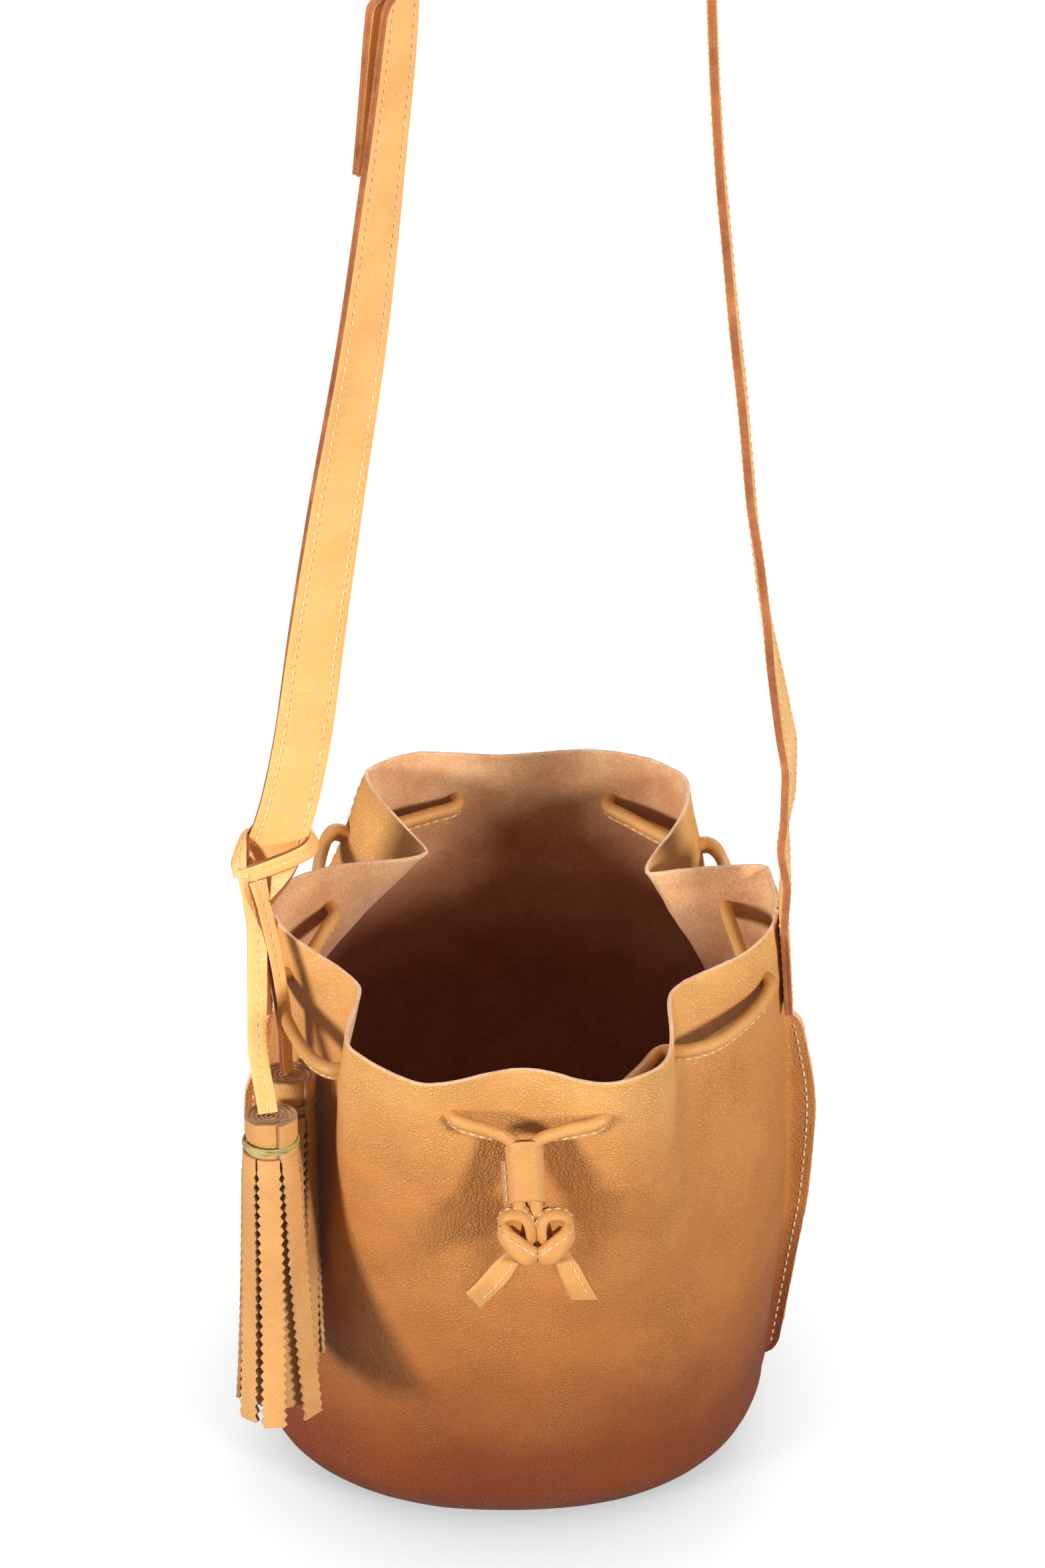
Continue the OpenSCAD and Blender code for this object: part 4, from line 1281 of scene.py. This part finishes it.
def lace_leg(name, node, body_name, points, sides, pivot, reach):
    body, thread = Bundle(), Bundle()
    path = spline(points, 10)
    share = np.linspace(0, 1, len(path))
    marks = np.linspace(0, 1, len(sides))
    spread = np.stack([np.interp(share, marks, np.asarray(sides, float)[:, k]) for k in range(3)], axis=1)
    lace(body, thread, path, spread)
    above, below = pivot + UP * 4, pivot - UP * reach
    bend = ("bag", body_name, tuple(above * MM), tuple(below * MM))
    belongs(body.piece(name, STRAP_LEATHER), [node], bend=bend)
    belongs(thread.piece(name + "_stitches", [THREAD]), [], bend=bend)


hitch()
lace_leg("lace_front_leg", "lace_leg_front", "lace_front", [
    (-96.8, -5.4, 277), (-95.4, -8.6, 270), (-93.6, -17, 263), (-93.4, -31, 248.5), (-93.2, -47, 232),
    FRONT_TOP + np.array([-1.5, 4, 6]), FRONT_TOP + np.array([-0.5, 0.6, 0.5])],
    [ACROSS * 0.9 - BACK * 0.4, ACROSS + BACK * 0.1, ACROSS + BACK * 0.2, ACROSS + BACK * 0.15,
     ACROSS, ACROSS, ACROSS], joint_point("lace_front_swing"), 6)
lace_leg("lace_rear_leg", "lace_leg_rear", "lace_rear", [
    (-93.5, -6.5, 276), (-91.5, -11.5, 268), (-88.4, -19.5, 257), (-86.0, -26, 245), (-84.0, -32, 230),
    REAR_TOP + np.array([-0.9, 2.4, 6]), REAR_TOP + np.array([-0.3, 0.5, 0.5])],
    [ACROSS * 0.8 + BACK * 0.5, ACROSS * 0.6 + BACK, ACROSS * 0.5 + BACK * 0.9,
     ACROSS * 0.5 + BACK * 0.8, ACROSS * 0.5 + BACK * 0.8, ACROSS * 0.45 + BACK,
     ACROSS * 0.3 + BACK], joint_point("lace_rear_swing"), 36)


# ---------- tassels ----------

HEAD_R = 10.2
NECK_Z = 10.3
TASSEL_LEN = 122.0
STRAND_TOP = NECK_Z + 3.2
FRINGE_REACH = 109.0   # length of fringe over which it spreads
PINK_PITCH, PINK_DEPTH = 3.7, 0.62
TASSEL_LEATHER = [TASSEL, STRAP_SUEDE, STRAP_SUEDE]


def put(body, place, points, faces, slots=None):
    """Adds a shape given in a tassel's own axes."""
    origin, axes = place
    body.add(origin + np.asarray(points) @ axes, faces, slots)


def rolled_head(body, place, opening):
    """Strip of leather rolled up on itself, its outer end lapping over at the given angle."""
    turns, pitch = 5.4, 1.62
    rows = []
    levels = (0.0, -0.5, -2.5, -6.0, -8.6, -NECK_Z, -12.0, -14.5)
    squeeze = (0.0, 0.0, 0.0, 0.0, 0.25, 0.95, 0.3, 0.0)
    for k in range(int(turns * 40) + 1):
        u = k / 40
        a = math.radians(opening) + 2 * math.pi * u
        r = HEAD_R - pitch * u
        lift = 0.5 * wobble(np.array([r * 3, math.cos(a) * 9, math.sin(a) * 9]), 6) - 0.25 * u
        rows.append([((r - s) * math.cos(a), (r - s) * math.sin(a), z + (lift if z == 0 else 0))
                     for z, s in zip(levels, squeeze)])
    grid = np.array(rows)
    flip = bool(grid_normals(grid)[5, 3] @ (grid[5, 3] * np.array([1, 1, 0])) < 0)
    put(body, place, *sheet(grid, 1.5, 0.12, flip=flip, fuzz=0.12))


def strand(body, place, angle, radius, length, width, flare, sway, twist, phase):
    """One strip of fringe with pinked edges, hanging from the neck."""
    step = PINK_PITCH / 2
    count = int((length - STRAND_TOP) / step)
    rows = []
    for j in range(count + 1):
        s = j * step
        u = s / (TASSEL_LEN - STRAND_TOP)
        r = radius + 0.7 * ease(s / 12) + flare * u ** 1.7
        curl = mix(radius, 4 * radius, ease(u * 1.6))
        teeth = PINK_DEPTH * min(1.0, max(0.0, (s - 3) / 5)) * (1 if (j + phase) % 2 else -1)
        row = []
        for v in (-1, -0.86, -0.5, 0, 0.5, 0.86, 1):
            x = v * (width / 2 + teeth * max(0.0, (abs(v) - 0.8) / 0.2))
            a = x / curl
            across = curl * math.sin(a)
            outward = r - curl * (1 - math.cos(a))
            spin = math.radians(twist) * u ** 1.5
            across, outward = (across * math.cos(spin), outward + across * math.sin(spin))
            across += sway * u ** 1.8
            upright = math.sqrt(max(0.2, 1 - (1.7 * flare * u ** 0.7 / FRINGE_REACH) ** 2))
            z = -STRAND_TOP - s * upright - 0.6 * v * u
            row.append((outward, across, z + (0.8 * v if j == count else 0)))
        rows.append(row)
    local = np.array(rows)
    ca, sa = math.cos(math.radians(angle)), math.sin(math.radians(angle))
    grid = np.stack([local[..., 0] * ca - local[..., 1] * sa, local[..., 0] * sa + local[..., 1] * ca,
                     local[..., 2]], axis=-1)
    middle = grid.shape[0] // 8
    flip = bool(grid_normals(grid)[middle, 3] @ (grid[middle, 3] * np.array([1, 1, 0])) < 0)
    put(body, place, *sheet(grid, 1.35, 0.1, flip=flip, fuzz=0.12))


def binding(thread, place):
    """Waxed thread wound round the neck, its end crossing the turns."""
    path = []
    for k in range(0, 360 * 3 + 61, 12):
        a = math.radians(k + 200)
        r = HEAD_R - 0.35 + 0.12 * math.sin(3.3 * a)
        z = -NECK_Z + 1.05 - 0.72 * k / 360 + 0.12 * math.sin(2.1 * a)
        path.append((r * math.cos(a), r * math.sin(a), z))
    crossing = []
    for k in range(0, 75, 8):
        a = math.radians(k - 128)
        crossing.append(((HEAD_R + 0.25) * math.cos(a), (HEAD_R + 0.25) * math.sin(a),
                         -NECK_Z + 1.1 - 2.0 * k / 75))
    for line in (path, crossing):
        put(thread, place, *sweep(np.array(line), disc(0.48, 8), UP))


def tassel(name, top, lean_to, lean, away, opening, seed, nodes, body_name):
    """A rolled and bound tassel. away is the direction in which its fringe has no room to spread."""
    rng = random.Random(seed)
    axis = unit(np.cross(np.append(lean_to, 0.0), UP))
    axes = np.array([turned(v, axis, lean) for v in (ACROSS, BACK, UP)])
    place = (top, axes)
    body, thread = Bundle(), Bundle()
    rolled_head(body, place, opening)
    count = 7
    pitch = 360 / count
    for k in range(count):
        angle = opening + pitch * (k + 0.5)
        facing = math.cos(math.radians(angle - away))
        room = 1 - ease((facing - 0.1) / 0.7)
        flare = mix(0.6, rng.uniform(3.8, 5.6), room)
        strand(body, place, angle, HEAD_R, TASSEL_LEN - rng.uniform(0, 4), 2 * math.pi * HEAD_R / count - 0.9,
               flare, rng.uniform(-1.6, 1.6), rng.uniform(-12, 12), 0)
    for layer, (radius, number) in enumerate(((7.3, 5), (4.6, 3))):
        for k in range(number):
            angle = opening + 360 / number * (k + 0.3 * layer) + rng.uniform(-8, 8)
            strand(body, place, angle, radius, TASSEL_LEN - rng.uniform(1, 7), 8.2, rng.uniform(1.2, 3.0),
                   rng.uniform(-1.5, 1.5), rng.uniform(-18, 18), k % 2)
    binding(thread, place)
    belongs(body.piece(name, TASSEL_LEATHER, 60), [nodes[0]], body_name)
    belongs(thread.piece(name + "_cord", [WAXED]), [nodes[1]], body_name)


tassel("tassel_front_fringe", FRONT_TOP, (3, -34), 16, 75, 292, 11,
       ("tassel_front", "tassel_front_binding"), "tassel_front")
tassel("tassel_rear_fringe", REAR_TOP, (-4.5, -32.5), 15.8, -80, 312, 5,
       ("tassel_rear", "tassel_rear_binding"), "tassel_rear")


# ---------- stage ----------

WORLD_LIGHT = (0.12, 0.42)      # brightness of the surroundings at the horizon and overhead
FLOOR_HALF = 9.0                # metres
FLOOR_BOUNCE = 0.22             # floor's tone as the bag sees it
FLOOR_SHADE, FLOOR_GLOW = 0.16, 0.93            # floor's tone and own light as the camera sees it
CONTACT_REACH, CONTACT_SHADE = 0.07, 0.35       # reach in metres and darkness of the contact shadow
AIM = (0, 0, 0.2)               # point that all lights face, in metres
LIGHTS = [                      # name, place in metres, diameter in metres, power in watts
    ("key_left", (-1.75, -1.30, 0.85), 0.5, 58),
    ("key_right", (1.60, -1.40, 1.05), 0.5, 53),
    ("fill_back", (0.35, 2.10, 0.95), 1.0, 34),
]
CAMERA_PLACE = (0.001, -2.072, 2.182)
CAMERA_DOWN = 42                # degrees below the horizon
SENSOR, LENS = 36, 181.4        # millimetres


def floor_paper():
    """White floor with a faint grain, and a painted contact shadow in its glow where the bag stands on it."""
    paper = Nodes("floor_paper", (0.9, 0.9, 0.9, 1.0))
    seen = paper.node("ShaderNodeLightPath").outputs["Is Camera Ray"]
    grain = paper.ramp(paper.noise(3, 3), 0.3, 0.7, 0.97, 1.0)
    near = paper.node("ShaderNodeAmbientOcclusion", {"Distance": CONTACT_REACH}, samples=12).outputs["AO"]
    # Painted contact shadow: the floor's glow is darkened by ambient occlusion near the bag.
    painted_contact_shadow = paper.ramp(near, 0.0, 1.0, CONTACT_SHADE, 1.0)
    tone = paper.math("MULTIPLY", paper.ramp(seen, 0, 1, FLOOR_BOUNCE, FLOOR_SHADE), grain)
    glow = paper.math("MULTIPLY", paper.math("MULTIPLY", seen, painted_contact_shadow), FLOOR_GLOW)
    grey = paper.node("ShaderNodeCombineColor", {"Red": tone, "Green": tone, "Blue": tone}).outputs["Color"]
    return paper.finish(Base_Color=grey, Roughness=0.9, Emission_Color=(1, 1, 1, 1), Emission_Strength=glow)


def surroundings():
    """White light from all round, brighter from above."""
    world = bpy.data.worlds.new("studio")
    bpy.context.scene.world = world
    world.use_nodes = True
    sky = world.node_tree
    up = sky.nodes.new("ShaderNodeSeparateXYZ")
    sky.links.new(sky.nodes.new("ShaderNodeTexCoord").outputs["Generated"], up.inputs[0])
    fade = sky.nodes.new("ShaderNodeMapRange")
    sky.links.new(up.outputs["Z"], fade.inputs["Value"])
    fade.inputs["From Min"].default_value, fade.inputs["From Max"].default_value = -0.1, 1.0
    fade.inputs["To Min"].default_value, fade.inputs["To Max"].default_value = WORLD_LIGHT
    sky.links.new(fade.outputs["Result"], sky.nodes["Background"].inputs["Strength"])
    sky.nodes["Background"].inputs["Color"].default_value = (1, 1, 1, 1)


def studio():
    """Pale floor, two low lamps in front, a weak one behind, and the camera."""
    floor_mesh = bpy.data.meshes.new("floor")
    corners = [(x * FLOOR_HALF, y * FLOOR_HALF, 0) for x, y in ((-1, -1), (1, -1), (1, 1), (-1, 1))]
    floor_mesh.from_pydata(corners, [], [(0, 1, 2, 3)])
    floor_mesh.materials.append(floor_paper())
    add_object("floor", floor_mesh)
    surroundings()

    for name, place, size, power in LIGHTS:
        lamp = bpy.data.lights.new(name, "AREA")
        lamp.shape = "DISK"
        lamp.size = size
        lamp.energy = power
        holder = add_object(name, lamp)
        holder.location = place
        holder.rotation_mode = "QUATERNION"
        holder.rotation_quaternion = (Vector(AIM) - Vector(place)).to_track_quat("-Z", "Y")

    camera = bpy.data.cameras.new("camera")
    camera.sensor_width = SENSOR
    camera.lens = LENS
    camera.clip_end = 50
    eye = add_object("camera", camera)
    eye.location = CAMERA_PLACE
    eye.rotation_euler = (math.radians(90 - CAMERA_DOWN), 0, 0)
    bpy.context.scene.camera = eye
    bpy.context.scene.view_settings.view_transform = "Standard"


studio()
